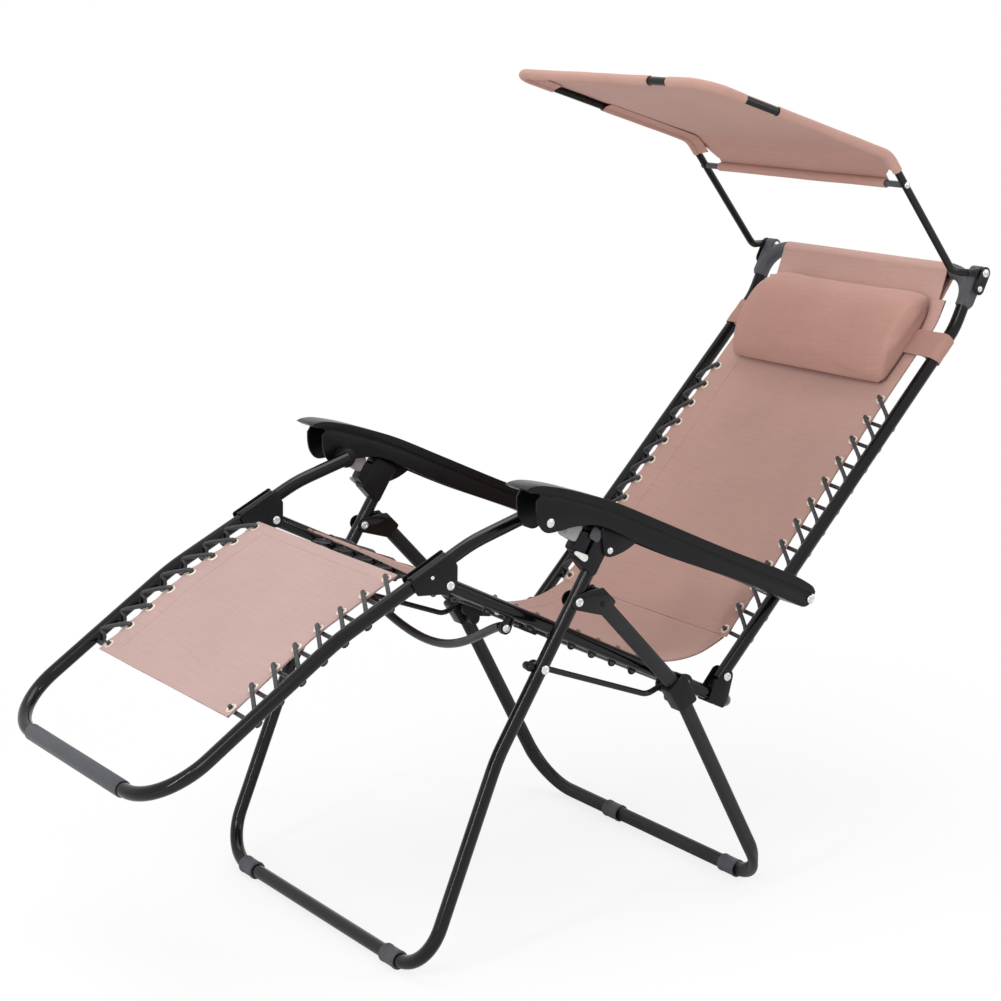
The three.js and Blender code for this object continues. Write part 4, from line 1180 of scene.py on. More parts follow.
def fork(side: Side, line: Line, run: float, front: float, back: float, pivot: Place) -> bpy.types.Object:
    """A bracket clamped round one tube, with two cheeks that hold another tube.

    Args:
        side: The lounger's side.
        line: The clamped tube's line.
        run: Where the bracket's middle is.
        front: How far its collar reaches forward, in mm.
        back: How far its collar reaches back, in mm.
        pivot: The place of the cheeks' rivet.

    Returns:
        The bracket.
    """
    s = side.value
    base = [(line.at(run + reach, h), 0.0045) for reach in (-back, front) for h in (-9.6, 9.6)]
    outline = disc_outline([*base, (pivot, 0.0129)], 48)
    cheeks = [plate(outline, s * (RAIL + k * 0.0118), s * (RAIL + k * 0.0141), 0.0009) for k in (-1, 1)]
    ax, az = line.along
    x, z = line.at(run + (front - back) / 2)
    edge = [(0.01115, 0), (0.0136, 0), (0.0141, 0.0008), (0.0141, 0.003), (0.0134, 0.0038)]
    collar = turned_ring((0.0, 0.0), both_ends(edge, (front + back) / 2 * MM), 44)
    pick(collar)
    bpy.ops.object.transform_apply(location=True, rotation=True, scale=True)
    turn = Matrix(((0.0, ax, -az), (1.0, 0.0, 0.0), (0.0, az, ax)))
    collar.data.transform(turn.to_4x4())
    collar.data.transform(Matrix.Translation((x, s * RAIL, z)))
    whole = joined([*cheeks, collar], "fork")
    tidy(whole, 0.000001)
    smooth(whole)
    return whole


class LegRest(Part):
    """The leg rest's U-shaped tube with its hubs, foot-bar sleeve and knee brackets."""

    def build(self) -> None:
        """Model the leg rest's hard pieces."""
        foot = REST_FOOT.at(351)
        route = u_route([REST_TOP, REST_MID.origin, REST_FOOT.origin, foot], RAIL, [0, 0.25, 0.4, 0.1])
        self.add(swept(route, TUBE, 10), "rest_tube", self.finishes.gloss_black, "leg_rest", ["leg_rest_frame"],
                 "gloss_tube")
        hub = [(0, 0.2653), (0.0125, 0.2653), (0.0165, 0.2668), (0.017, 0.2685), (0.017, 0.2835),
               (0.0155, 0.2862), (0.0118, 0.2866), (0, 0.2866)]
        for side in Side:
            self.dark(turned_part(REST_TOP, turned(hub, side)), f"rest_hub_{side.word}", "leg_rest")
        grip = turned_ring(foot, both_ends([(0.0113, 0), (0.0127, 0), (0.0132, 0.0012)], 0.16), 48)
        self.add(grip, "foot_bar_grip", self.finishes.grey_plastic, "leg_rest", ["foot_bar_sleeve"], "grey_plastic")
        for side in Side:
            self.hinge("knee", side, fork(side, REST_MID, 67.5, 50, 20, KNEE), KNEE, "leg_rest")
            screw = round_head(REST_MID.at(88, 2), side.value * 0.2789, side.value, 0.0032, 0.0016)
            self.bright(screw, f"knee_screw_{side.word}", "leg_rest")


def eased(shares: Sequence[Sequence[float]], steps: int = 5) -> list[tuple[float, ...]]:
    """A smooth open line through places.

    Args:
        shares: The places.
        steps: How many places each stretch gets.

    Returns:
        The smooth line.
    """
    places = np.array(shares, float)
    ends = np.vstack([2 * places[0] - places[1], places, 2 * places[-1] - places[-2]])
    out = []
    for a, b, c, d in zip(ends, ends[1:], ends[2:], ends[3:]):
        for t in (k / steps for k in range(steps)):
            out.append(tuple(0.5 * (2 * b + (c - a) * t + (2 * a - 5 * b + 4 * c - d) * t ** 2
                                    + (3 * b - a - 3 * c + d) * t ** 3)))
    return [*out, tuple(places[-1])]


ARM_TOP = [(-0.134, 0.62), (-0.117, 0.74), (-0.08, 0.86), (-0.007, 0.95), (0.07, 0.985), (0.184, 1.0),
           (0.366, 0.87), (0.623, 0.68), (0.88, 0.54), (0.985, 0.4), (1.012, 0.25)]
ARM_UNDER = [(1.012, -0.03), (0.985, -0.25), (0.93, -0.22), (0.775, -0.09), (0.654, -0.035), (0.48, 0.02),
             (0.32, 0.14), (0.16, 0.3), (0.075, 0.12), (0.02, -0.12), (-0.022, -0.27), (-0.052, -0.15),
             (-0.072, 0.1), (-0.085, 0.4)]
ARM_SEAM = [(-0.112, 0.58), (-0.08, 0.66), (-0.02, 0.74), (0.07, 0.77), (0.184, 0.76), (0.366, 0.62),
            (0.623, 0.42), (0.88, 0.27), (1.012, 0.16)]
ARM_CHANNEL = [(-0.105, 0.5), (-0.05, 0.72), (0.05, 0.86), (0.19, 0.9), (0.36, 0.79), (0.62, 0.59), (0.66, 0.5)]


class Armrests(Part):
    """The moulded armrests: an upper pad over a hollow lower shell, pinned at both ends."""

    def build(self) -> None:
        """Model both armrests."""
        for side in Side:
            self._armrest(side)

    def _armrest(self, side: Side) -> None:
        """Model one armrest with its rivets.

        Args:
            side: The lounger's side.
        """
        s = side.value
        top = [arm_at(*p) for p in eased(ARM_TOP)]
        seam = [arm_at(*p) for p in eased(ARM_SEAM)]
        under = [arm_at(*p) for p in [(1.014, 0.11), *eased(ARM_UNDER)]]
        pad = plate([*top, *reversed(seam)], s * (ARM_IN + 0.0003), s * ARM_OUT, 0.0042, 4)
        lip = [arm_at(run, rise - 0.07) for run, rise in eased(ARM_SEAM[1:])]
        middle = eased([*ARM_SEAM[1:-1], (1.005, 0.17)])
        core = plate([*[arm_at(run, rise + 0.12) for run, rise in middle],
                      *reversed([arm_at(run, rise - 0.12) for run, rise in middle])],
                     s * (ARM_IN + 0.0026), s * (ARM_OUT - 0.0026), 0)
        shell = plate([*lip, *under], s * (ARM_IN + 0.0006), s * (ARM_OUT - 0.0004), 0.0022, 3)
        roof = [arm_at(*p) for p in eased(ARM_CHANNEL, 3)]
        deep = [arm_at(0.66, -1.6), arm_at(-0.105, -1.6)]
        for piece in (pad, core, shell):
            tool = plate([*roof, *deep], s * (ARM_IN + 0.004), s * (ARM_OUT - 0.004), 0)
            cut_with(piece, tool)
            smooth(piece, 35)
        self.add(joined([pad, core, shell], "arm"), f"armrest_shell_{side.word}", self.finishes.black_plastic,
                 "armrests", [f"armrest_{side.word}"], "black_plastic")
        place, y = ARM.at(-11), s * (ARM_OUT - 0.0005)
        front = round_head(place, s * (ARM_OUT - 0.0006), s, 0.0056, 0.0026)
        washer = [(0.002, y - s * 0.0005), (0.0068, y - s * 0.0005), (0.0068, y + s * 0.0006),
                  (0.0062, y + s * 0.001), (0.002, y + s * 0.001)]
        whole = joined([front, turned_ring(place, washer)], "head")
        self.bright(whole, f"armrest_front_head_{side.word}", "armrests")
        rail = 0.254
        low = [(r * RIVET_HEAD, rail - 0.00035 - h * RIVET_TALL) for r, h in reversed(RIVET_CROWN)]
        high = [(r * RIVET_HEAD, ARM_OUT + 0.00035 + h * 0.0024) for r, h in RIVET_CROWN]
        collar = [(0.004, 0.27635), (0.007, 0.2765), (0.007, 0.2865), (0.004, 0.28665)]
        profile = [*low, (RIVET_SHANK, rail - 0.0003), *collar, (RIVET_SHANK, ARM_OUT), *high]
        bolt = turned_part(ARM_PIVOT, turned(profile, side))
        self.bright(bolt, f"armrest_rivet_{side.word}", "arm_pivots", f"armrest_pin_{side.word}")


class Locks(Part):
    """The locks that grip the armrests on the front leg's top, with their small levers."""

    def build(self) -> None:
        """Model both locks."""
        for side in Side:
            self._housing(side)
            self._lever(side)

    def _housing(self, side: Side) -> None:
        """Model a lock's blocks, half-round plate and spring.

        Args:
            side: The lounger's side.
        """
        s = side.value
        line = FRONT_LEG
        block = plate(rounded(line, [(52, 0.5), (108, 0.5), (108, 31.5), (61, 31.5)], 0.0075, 40),
                      s * (LEG - 0.0132), s * (LEG + 0.0132), 0.0022, 3)
        pocket = rounded(line, [(70, 27), (100, 27), (100, 38), (70, 38)], 0.003, 20)
        cut_with(block, plate(pocket, s * (LEG - 0.008), s * (LEG + 0.016), 0))
        cut_with(block, swept([spot(line.at(run), s * LEG) for run in (20, 72.6)], 0.0112, 8))
        ribs = [plate(rounded(line, [(run, 37.5), (run, 41)], 0.0011, 16), s * (LEG - 0.0105), s * (LEG + 0.0105),
                      0.0004) for run in (70, 77, 84, 91)]
        grip = plate(rounded(line, [(64, 33), (96, 33), (93, 49), (68, 49)], 0.004),
                     s * (LEG - 0.0115), s * (LEG + 0.0115), 0.0016, 3)
        whole = joined([block, grip, *ribs], "lock")
        smooth(whole)
        self.dark(whole, f"lock_block_{side.word}", "front_leg_body", f"lock_housing_{side.word}")
        rim = [line.at(*place) for place in eased([(113, 25), (97, 12), (83, -1), (82, -12), (92, -25),
                                                   (107, -38), (127, -50)])]
        half_round = plate([*rim, line.at(131, -40), line.at(122, 24)], s * (LEG + 0.0136), s * (LEG + 0.0165), 0.0008)
        self.add(half_round, f"lock_plate_{side.word}", self.finishes.black_plastic, "front_leg_body",
                 [], "black_plastic")
        head = round_head(line.at(91.5, -8.5), s * (LEG + 0.0165), s, 0.0054, 0.0022)
        self.bright(head, f"lock_rivet_{side.word}", "front_leg_body")
        cap = plate(rounded(line, [(97, 33), (106, 33), (106, 22), (97, 22)], 0.005),
                    s * (LEG + 0.0131), s * (LEG + 0.0146), 0.0007)
        self.add(cap, f"lock_cap_{side.word}", self.finishes.grey_plastic, "front_leg_body", [], "grey_plastic")
        button = plate(rounded(line, [(81, 57), (98, 57), (98, 74), (81, 74)], 0.005, 32),
                       s * (LEG - 0.009), s * (LEG + 0.0095), 0.0018, 3)
        self.add(button, f"lock_button_{side.word}", self.finishes.pale_plastic, "front_leg_body", [], "light_plastic")
        self._spring(side)

    def _spring(self, side: Side) -> None:
        """Model the black coil beside the leg's top.

        Args:
            side: The lounger's side.
        """
        turns, steps = 12, 18
        route = []
        for i in range(turns * steps + 1):
            turn = 2 * math.pi * i / steps
            place = FRONT_LEG.at(74 + 34 * i / (turns * steps), 33 + 4.2 * math.cos(turn))
            route.append(spot(place, side.value * (LEG - 0.0005) + 0.0042 * math.sin(turn)))
        self.add(swept(route, 0.0007, 2), f"lock_spring_{side.word}", self.finishes.bent_rod, "front_leg_body",
                 [], "bent_rod")

    def _lever(self, side: Side) -> None:
        """Model the small white lever.

        Args:
            side: The lounger's side.
        """
        shape = disc_outline([(FRONT_LEG.at(62, 30), 0.0056), (FRONT_LEG.at(62, 48), 0.003)])
        lever = plate(shape, side.value * (LEG + 0.0145), side.value * (LEG + 0.0187), 0.0011, 3)
        self.add(lever, f"lock_tongue_{side.word}", self.finishes.white_plastic, f"lever_{side.word}",
                 [f"lock_lever_{side.word}"], "light_plastic")


class Back(Part):
    """The back's bent tube, its corner connectors and the canopy's plates and screws."""

    def build(self) -> None:
        """Model the back's hard pieces."""
        top = BACK_TOP.at(100)
        route = u_route([BACK.at(-9), BACK.at(726), top], RAIL, [0, 0.12, 0.05])
        frame = swept(route, TUBE, 10)
        self.add(frame, "back_tube", self.finishes.gloss_black, "back", ["back_frame"], "gloss_tube")
        for side in Side:
            self._connector(side, top)

    def _connector(self, side: Side, top: Place) -> None:
        """Model one corner with its block, outer plate, screw and nut.

        Args:
            side: The lounger's side.
            top: The top bar's place.
        """
        s = side.value
        corner = [spot(BACK_TOP.at(43), s * RAIL), spot(top, s * RAIL), spot(top, s * 0.2185)]
        elbow = swept(rounded_route(corner, [0, 0.05, 0], 5), 0.0132, 10)
        screw = (CANOPY_PIVOT[0] - 0.029 * 0.45399, CANOPY_PIVOT[1] - 0.029 * 0.89101)
        block = plate(disc_outline([(CANOPY_PIVOT, 0.0109), (screw, 0.009), (BACK_TOP.at(51), 0.0108)], 44),
                      s * 0.2562, s * 0.2781, 0.0016, 3)
        cuffs = [swept([spot(BACK_TOP.at(run), s * RAIL) for run in (41.5, 45.5)], 0.0133, 10),
                 swept([spot(top, s * y) for y in (0.2172, 0.2206)], 0.0133, 10)]
        whole = joined([elbow, block, *cuffs], "connector")
        smooth(whole)
        self.add(whole, f"corner_elbow_{side.word}", self.finishes.grey_plastic, "back",
                 [f"corner_connector_{side.word}"], "grey_plastic")
        outer = plate(disc_outline([(CANOPY_PIVOT, 0.0109), (screw, 0.0109)], 44), s * 0.2841, s * 0.2873, 0.0008, 3)
        self.add(outer, f"canopy_side_plate_{side.word}", self.finishes.bent_rod, "back",
                 [f"canopy_plate_{side.word}"], "gloss_tube")
        spacer = turned_part(screw, turned([(0, 0.2785), (0.0065, 0.2785), (0.0065, 0.2842), (0, 0.2842)], side))
        self.add(spacer, f"canopy_spacer_{side.word}", self.finishes.soft_black, "back", [], "gloss_tube")
        upper, lower = (slotted_head(place, s * 0.2874, s, size) for place, size in
                        ((CANOPY_PIVOT, 0.0072), (screw, 0.0052)))
        self.bright(upper, f"canopy_screw_{side.word}", "back", f"canopy_bolt_{side.word}")
        self.bright(lower, f"canopy_lower_screw_{side.word}", "back")
        nut = [(0, 0.2571), (0.0052, 0.2571), (0.0066, 0.2562), (0.0062, 0.2545), (0.004, 0.2535), (0, 0.2532)]
        self.bright(turned_part(CANOPY_PIVOT, turned(nut, side), 24), f"canopy_nut_{side.word}", "back")


def slotted_head(place: Place, y: float, out: int, radius: float) -> bpy.types.Object:
    """A pan head with a slot across it.

    Args:
        place: Its place in the side plane.
        y: The face it stands on.
        out: The way it points along Y.
        radius: Its radius.

    Returns:
        The head.
    """
    head = round_head(place, y, out, radius, 0.0029)
    x, z = place
    slot = [(x - 0.012, z + 0.0036), (x - 0.0115, z + 0.0046), (x + 0.012, z - 0.0036), (x + 0.0115, z - 0.0046)]
    cut_with(head, plate(slot, y + out * 0.0014, y + out * 0.006, 0))
    tidy(head)
    smooth(head)
    return head


def places_of(piece: bpy.types.Object) -> np.ndarray:
    """A piece's vertices, one row of X, Y and Z each.

    Args:
        piece: The piece.

    Returns:
        The rows.
    """
    places = np.empty(len(piece.data.vertices) * 3)
    piece.data.vertices.foreach_get("co", places)
    return places.reshape(-1, 3)


def lay_out(piece: bpy.types.Object, flat: np.ndarray) -> None:
    """Lay a piece's cloth out as its UV map.

    Args:
        piece: The piece.
        flat: Each vertex' place on the cloth, in metres.
    """
    layer = piece.data.uv_layers.active or piece.data.uv_layers.new(name="UVMap")
    layer.name = "UVMap"
    order = np.empty(len(piece.data.loops), np.int32)
    piece.data.loops.foreach_get("vertex_index", order)
    layer.data.foreach_set("uv", flat[order].ravel())


def cloth_grid(rows: Sequence[Sequence[Vector]], marks: Sequence[Sequence[Place]], thick: float) -> bpy.types.Object:
    """A sheet of cloth whose grid follows given places.

    Args:
        rows: The places, row by row.
        marks: Each place's UV, laid out flat in metres.
        thick: The cloth's thickness, half to each side.

    Returns:
        The sheet.
    """
    deselect()
    across, along = len(rows[0]), len(rows)
    bpy.ops.mesh.primitive_grid_add(x_subdivisions=across - 1, y_subdivisions=along - 1, size=1, location=(0, 0, 0))
    sheet = bpy.context.object
    sheet.data.vertices.foreach_set("co", np.array([p for row in rows for p in row], float).ravel())
    lay_out(sheet, np.array([m for row in marks for m in row], float))
    sheet.data.update()
    modify(sheet, "SOLIDIFY", thickness=thick, offset=0.0)
    tidy(sheet, 0.0000005)
    smooth(sheet, 60)
    return sheet


def marked(rows: Sequence[Sequence[Vector]], lengths: Sequence[float]) -> list[list[Place]]:
    """The flat places of rows, by their Y and each row's length along the cloth."""
    return [[(p.y, length) for p in row] for row, length in zip(rows, lengths)]


def soft_row(here: Place, normal: Place, half: float, depth: float, length: float, seed: float) -> list[Vector]:
    """One gently uneven row across a strip of cloth.

    Args:
        here: The row's place in the side plane.
        normal: The cloth's outward direction there.
        half: Half the strip's width.
        depth: How uneven the row is, in metres.
        length: The row's length along the cloth.
        seed: A number that tells one cloth from another.

    Returns:
        The row's places.
    """
    row = []
    for j in range(61):
        y = half * (2 * j / 60 - 1)
        soft = depth * ripple(length, y, seed)
        row.append(Vector((here[0] + normal[0] * soft, y, here[1] + normal[1] * soft)))
    return row


def ripple(a: float, b: float, seed: float) -> float:
    """A smooth irregular wave from -1 to 1, the same each time.

    Args:
        a: One coordinate, in metres.
        b: The other coordinate.
        seed: A number that tells one cloth from another.

    Returns:
        The wave's height.
    """
    return (math.sin(31 * a + 17 * b + seed) + math.sin(53 * a - 23 * b + 2.1 * seed)
            + math.sin(19 * a + 41 * b + 3.7 * seed)) / 3


SEAT_CURVE = [(48, 6), (126, 6), (205, 6), (283, 6), (362, 6), (430, 9), (474, 17), (516, 33), (551, 55), (577, 81),
              (589, 96)]


SEAT_SMOOTH = eased(SEAT_CURVE, 12)
SEAT_RUNS = [run for run, _ in SEAT_SMOOTH]
SEAT_PLACES = [SEAT.at(*place) for place in SEAT_SMOOTH]


def seat_line(run: float) -> Place:
    """The seat cloth's side line, curling up toward the back.

    Args:
        run: Distance along the rail, in mm.

    Returns:
        X and Z in metres.
    """
    if run < SEAT_RUNS[0]:
        return SEAT.at(run, 16)
    if run > SEAT_RUNS[-1]:
        (ax, az), (bx, bz) = SEAT_PLACES[-2:]
        size, past = math.dist((ax, az), (bx, bz)), run - SEAT_RUNS[-1]
        return (bx + (bx - ax) / size * past * MM, bz + (bz - az) / size * past * MM)
    x, z = (float(np.interp(run, SEAT_RUNS, axis)) for axis in zip(*SEAT_PLACES))
    return (x, z)


@dataclass(frozen=True)
class Panel:
    """One laced panel of the sling; runs and the rise are in mm, all else in metres.

    The middle hangs by the sag, times the first of fade less the second's share of the way.
    """

    name: str
    body: str
    at: Callable[[float, float], Place]
    line: Callable[[float], Place]
    rise: float
    runs: tuple[float, ...]
    span: Place
    rows: int
    half: float
    eyelet: float
    sag: float
    fade: Place
    end_hems: int
    flat: Place
    seed: float

    def dip(self, run: float) -> float:
        """How far the middle hangs at a run."""
        share = min(max((run - self.span[0]) / (self.span[1] - self.span[0]), 0), 1)
        return self.sag * math.sin(math.pi * share) * (self.fade[0] - self.fade[1] * share) + 0.0005


PANELS = (
    Panel("leg", "leg_rest", rest_at, lambda run: rest_at(run, 2), 2, tuple(124 + 43.5 * i for i in range(8)),
          (110, 443), 120, 0.2165, 0.2045, 0.008, (0.9, 0), 2, (0.53, 0.372), 1.3),
    Panel("seat", "seat", SEAT.at, seat_line, 6, tuple(88 + 44 * i for i in range(9)),
          (48, 589), 170, 0.226, 0.214, 0.012, (1, 0.45), 1, (0.552, 0.6), 2.2),
    Panel("back", "back", back_at, lambda run: back_at(run, 7), 7, tuple(74 + 44 * i for i in range(12)),
          (62, 771), 230, 0.230, 0.218, 0.014, (0.8, 0), 2, (0.562, 0.88), 4.1),
)


def cloth_row(panel: Panel, here: Place, normal: Place, spread: float, run: float) -> list[Vector]:
    """One row of a laced panel across its width.

    Args:
        panel: The panel.
        here: The row's place in the side plane.
        normal: The cloth's upward direction there.
        spread: How strongly the edge is scalloped between grommets here, from 0 to 1.
        run: The row's place along the panel, in mm.

    Returns:
        The row's places.
    """
    row, dip = [], panel.dip(run)
    for j in range(73):
        share = 2 * j / 72 - 1
        scallop = 0.0026 * spread * abs(share) ** 10
        y = panel.half * share - math.copysign(scallop, share) if share else 0.0
        pull = -0.0012 * spread * abs(share) ** 24
        soft = 0.0007 * ripple(run * MM, y, panel.seed) * (1 - abs(share) ** 6)
        rise = -dip * (1 - share * share) + pull + soft
        row.append(Vector((here[0] + normal[0] * rise, y, here[1] + normal[1] * rise)))
    return row


class Sling(Part):
    """The laced fabric: leg, seat and back panels with their hems, grommets and elastic cords."""

    THICK = 0.0022
    SIDE_HEM = 0.0030
    END_HEM = 0.0029
    HEADER = 0.0018
    PITCH = 44.0
    CORD = 0.0035
    UV_STEP = 0.0007

    def build(self) -> None:
        """Model the three panels."""
        for panel in PANELS:
            self._panel(panel)
        for panel in PANELS:
            self._rings(panel)
            for side in Side:
                self._lace(panel, side)

    def _panel(self, panel: Panel) -> None:
        """Model one panel with its hems; the back's also has the sleeve round the top bar.

        Args:
            panel: The panel.
        """
        rows, marks = self._rows(panel)
        pieces = [cloth_grid(rows, marks, self.THICK), *self._hems(panel, rows, marks)]
        if panel.name == "back":
            pieces.append(self._header(panel))
        # The leg panel gets the paler, greyer rose of painted highlight; the other panels get the plain rose.
        finish = self.finishes.rest_sling if panel.name == "leg" else self.finishes.sling
        whole = self.add(joined(pieces, panel.name), f"sling_{panel.name}_panel", finish, panel.body,
                         [f"sling_{panel.name}"], "rose_cloth")

    def _rows(self, panel: Panel) -> tuple[list[list[Vector]], list[list[Place]]]:
        """A panel's rows and their flat layout.

        Args:
            panel: The panel.

        Returns:
            The rows and their UV places.
        """
        start, end = panel.span
        runs = [start + (end - start) * i / (panel.rows - 1) for i in range(panel.rows)]
        rows = []
        for run in runs:
            before, after = panel.line(run - 1), panel.line(run + 1)
            tx, tz = after[0] - before[0], after[1] - before[1]
            size = math.hypot(tx, tz)
            up = (-tz / size, tx / size) if panel.name != "leg" else (tz / size, -tx / size)
            offset = min(abs(run - laced) for laced in panel.runs)
            reach = panel.runs[0] - 10 < run < panel.runs[-1] + 10
            spread = math.sin(math.pi * min(offset / self.PITCH, 0.5)) ** 2 if reach else 0.3
            rows.append(cloth_row(panel, panel.line(run), up, spread, run))
        return rows, marked(rows, lengths_along([panel.line(run) for run in runs]))

    def _hems(self, panel: Panel, rows: list[list[Vector]], marks: list[list[Place]]) -> list[bpy.types.Object]:
        """Model the doubled hems along a panel's long edges and across its ends.

        Args:
            panel: The panel.
            rows: Its rows.
            marks: Their flat layout.

        Returns:
            The hems.
        """
        hems = []
        for part in (slice(0, 9), slice(-9, None)):
            flat = [[(u + self.UV_STEP, v) for u, v in mark[part]] for mark in marks]
            hems.append(cloth_grid([row[part] for row in rows], flat, self.SIDE_HEM))
        for part in (slice(0, 8), slice(-8, None))[:panel.end_hems]:
            flat = [[(u, v + self.UV_STEP) for u, v in mark] for mark in marks[part]]
            hems.append(cloth_grid(rows[part], flat, self.END_HEM))
        return hems

    def _header(self, panel: Panel) -> bpy.types.Object:
        """Model the narrower sleeve that wraps the back's top bar.

        Args:
            panel: The back panel.

        Returns:
            The sleeve.
        """
        top = BACK_TOP.at(100)
        ax, az = BACK_TOP.along
        profile: list[Place] = [back_at(r, panel.rise) for r in (764, 768, 772)]
        radius = 0.0136
        for i in range(34):
            angle = math.radians(118 - 262 * i / 33)
            along, across = math.cos(angle) * radius, math.sin(angle) * radius
            profile.append((top[0] + ax * along - az * across, top[1] + az * along + ax * across))
        tail = back_at(770, 0.5)
        profile += [blended((profile[-1], tail), share) for share in (0.35, 0.7, 1.0)]
        lengths = lengths_along(profile, 0.72)
        rows = [soft_row(here, (-az, ax), 0.213, 0.0005, length, 5.0) for here, length in zip(profile, lengths)]
        return cloth_grid(rows, marked(rows, lengths), self.HEADER)

    def _rings(self, panel: Panel) -> None:
        """Model the panel's bright grommets.

        Args:
            panel: The panel.
        """
        rings = []
        for run in panel.runs:
            low, high = panel.at(run, panel.rise - 5), panel.at(run, panel.rise + 5)
            up = Vector((high[0] - low[0], 0, high[1] - low[1])).normalized()
            turn = Vector((0, 0, 1)).rotation_difference(up)
            for s in (-1, 1):
                deselect()
                bpy.ops.mesh.primitive_torus_add(
                    major_radius=0.0067, minor_radius=0.0023, major_segments=28, minor_segments=10,
                    location=spot(panel.at(run, panel.rise), s * panel.eyelet))
                ring = bpy.context.object
                ring.rotation_mode = "QUATERNION"
                ring.rotation_quaternion = turn
                ring.scale = (1, 1, 0.8)
                rings.append(ring)
        whole = joined(rings, "rings")
        smooth(whole, 60)
        self.add(whole, f"grommets_{panel.name}", self.finishes.ring, panel.body, [], "rivet_steel")

    def _lace(self, panel: Panel, side: Side) -> None:
        """Model one elastic cord that loops between the grommets and the tube.

        Args:
            panel: The panel.
            side: The lounger's side.
        """
        s = side.value
        runs = panel.runs if panel.name == "leg" else panel.runs[::-1]
        points: list[Vector] = []
        clips = []
        for i, run in enumerate(runs):
            points += [spot(panel.at(run, panel.rise + rise), s * panel.eyelet) for rise in (-6.5, 0.0, 6.0)]
            if i + 1 == len(runs):
                break
            step = runs[i + 1] - run
            for share, degrees, reach in ((0.62, 150, 13.9), (0.7, 182, 13.9), (0.77, 220, 13.9), (0.86, 256, 14.2),
                                          (0.96, 238, 14.4), (1.02, 205, 14.2)):
                points.append(self._round_tube(panel, run + step * share, degrees, reach, s))
            clips.append(self._clip(panel, run + step * 0.88, s))
        self.dark(joined(clips, "clips"), f"cord_clips_{panel.name}_{side.word}", panel.body)
        route = [Vector(place) for place in eased(points, 4)]
        LOG.info("cord_%s_%s: %.3f m long", panel.name, side.word, lengths_along(route)[-1])
        self.add(swept(route, self.CORD, 3), f"cord_{panel.name}_{side.word}", self.finishes.cord, panel.body,
                 [f"lacing_{panel.name}_{side.word}"], "bungee")

    @staticmethod
    def _round_tube(panel: Panel, run: float, degrees: float, reach: float, s: int) -> Vector:
        """A point beside a panel's tube.

        Args:
            panel: The panel.
            run: Its place along the tube.
            degrees: Its angle round the tube.
            reach: Its distance from the tube's axis, in mm.
            s: The side's sign.

        Returns:
            The point.
        """
        angle = math.radians(degrees)
        return spot(panel.at(run, reach * math.sin(angle)), s * (RAIL + reach * MM * math.cos(angle)))

    @classmethod
    def _clip(cls, panel: Panel, run: float, s: int) -> bpy.types.Object:
        """A small staple on the tube's rear face that holds the cord.

        Args:
            panel: The panel.
            run: Its place along the tube.
            s: The side's sign.

        Returns:
            The staple.
        """
        bend = ((-6, 10.2), (-6, 14), (-5, 17.6), (-2, 19.4), (2, 19.4), (5, 17.6), (6, 14), (6, 10.2))
        return swept([cls._round_tube(panel, run + shift, 254, reach, s) for shift, reach in bend], 0.0015, 2)


CANOPY_START = Line(CANOPY_PIVOT, (-0.99756, 0.06976))
KICK_FOOT = CANOPY_START.at(54)
KICK_LENGTH = math.dist(KICK_FOOT, CANOPY_TOP.origin) * 1000
KICK = Line(KICK_FOOT, tuple((end - start) / KICK_LENGTH / MM for start, end in zip(KICK_FOOT, CANOPY_TOP.origin)))


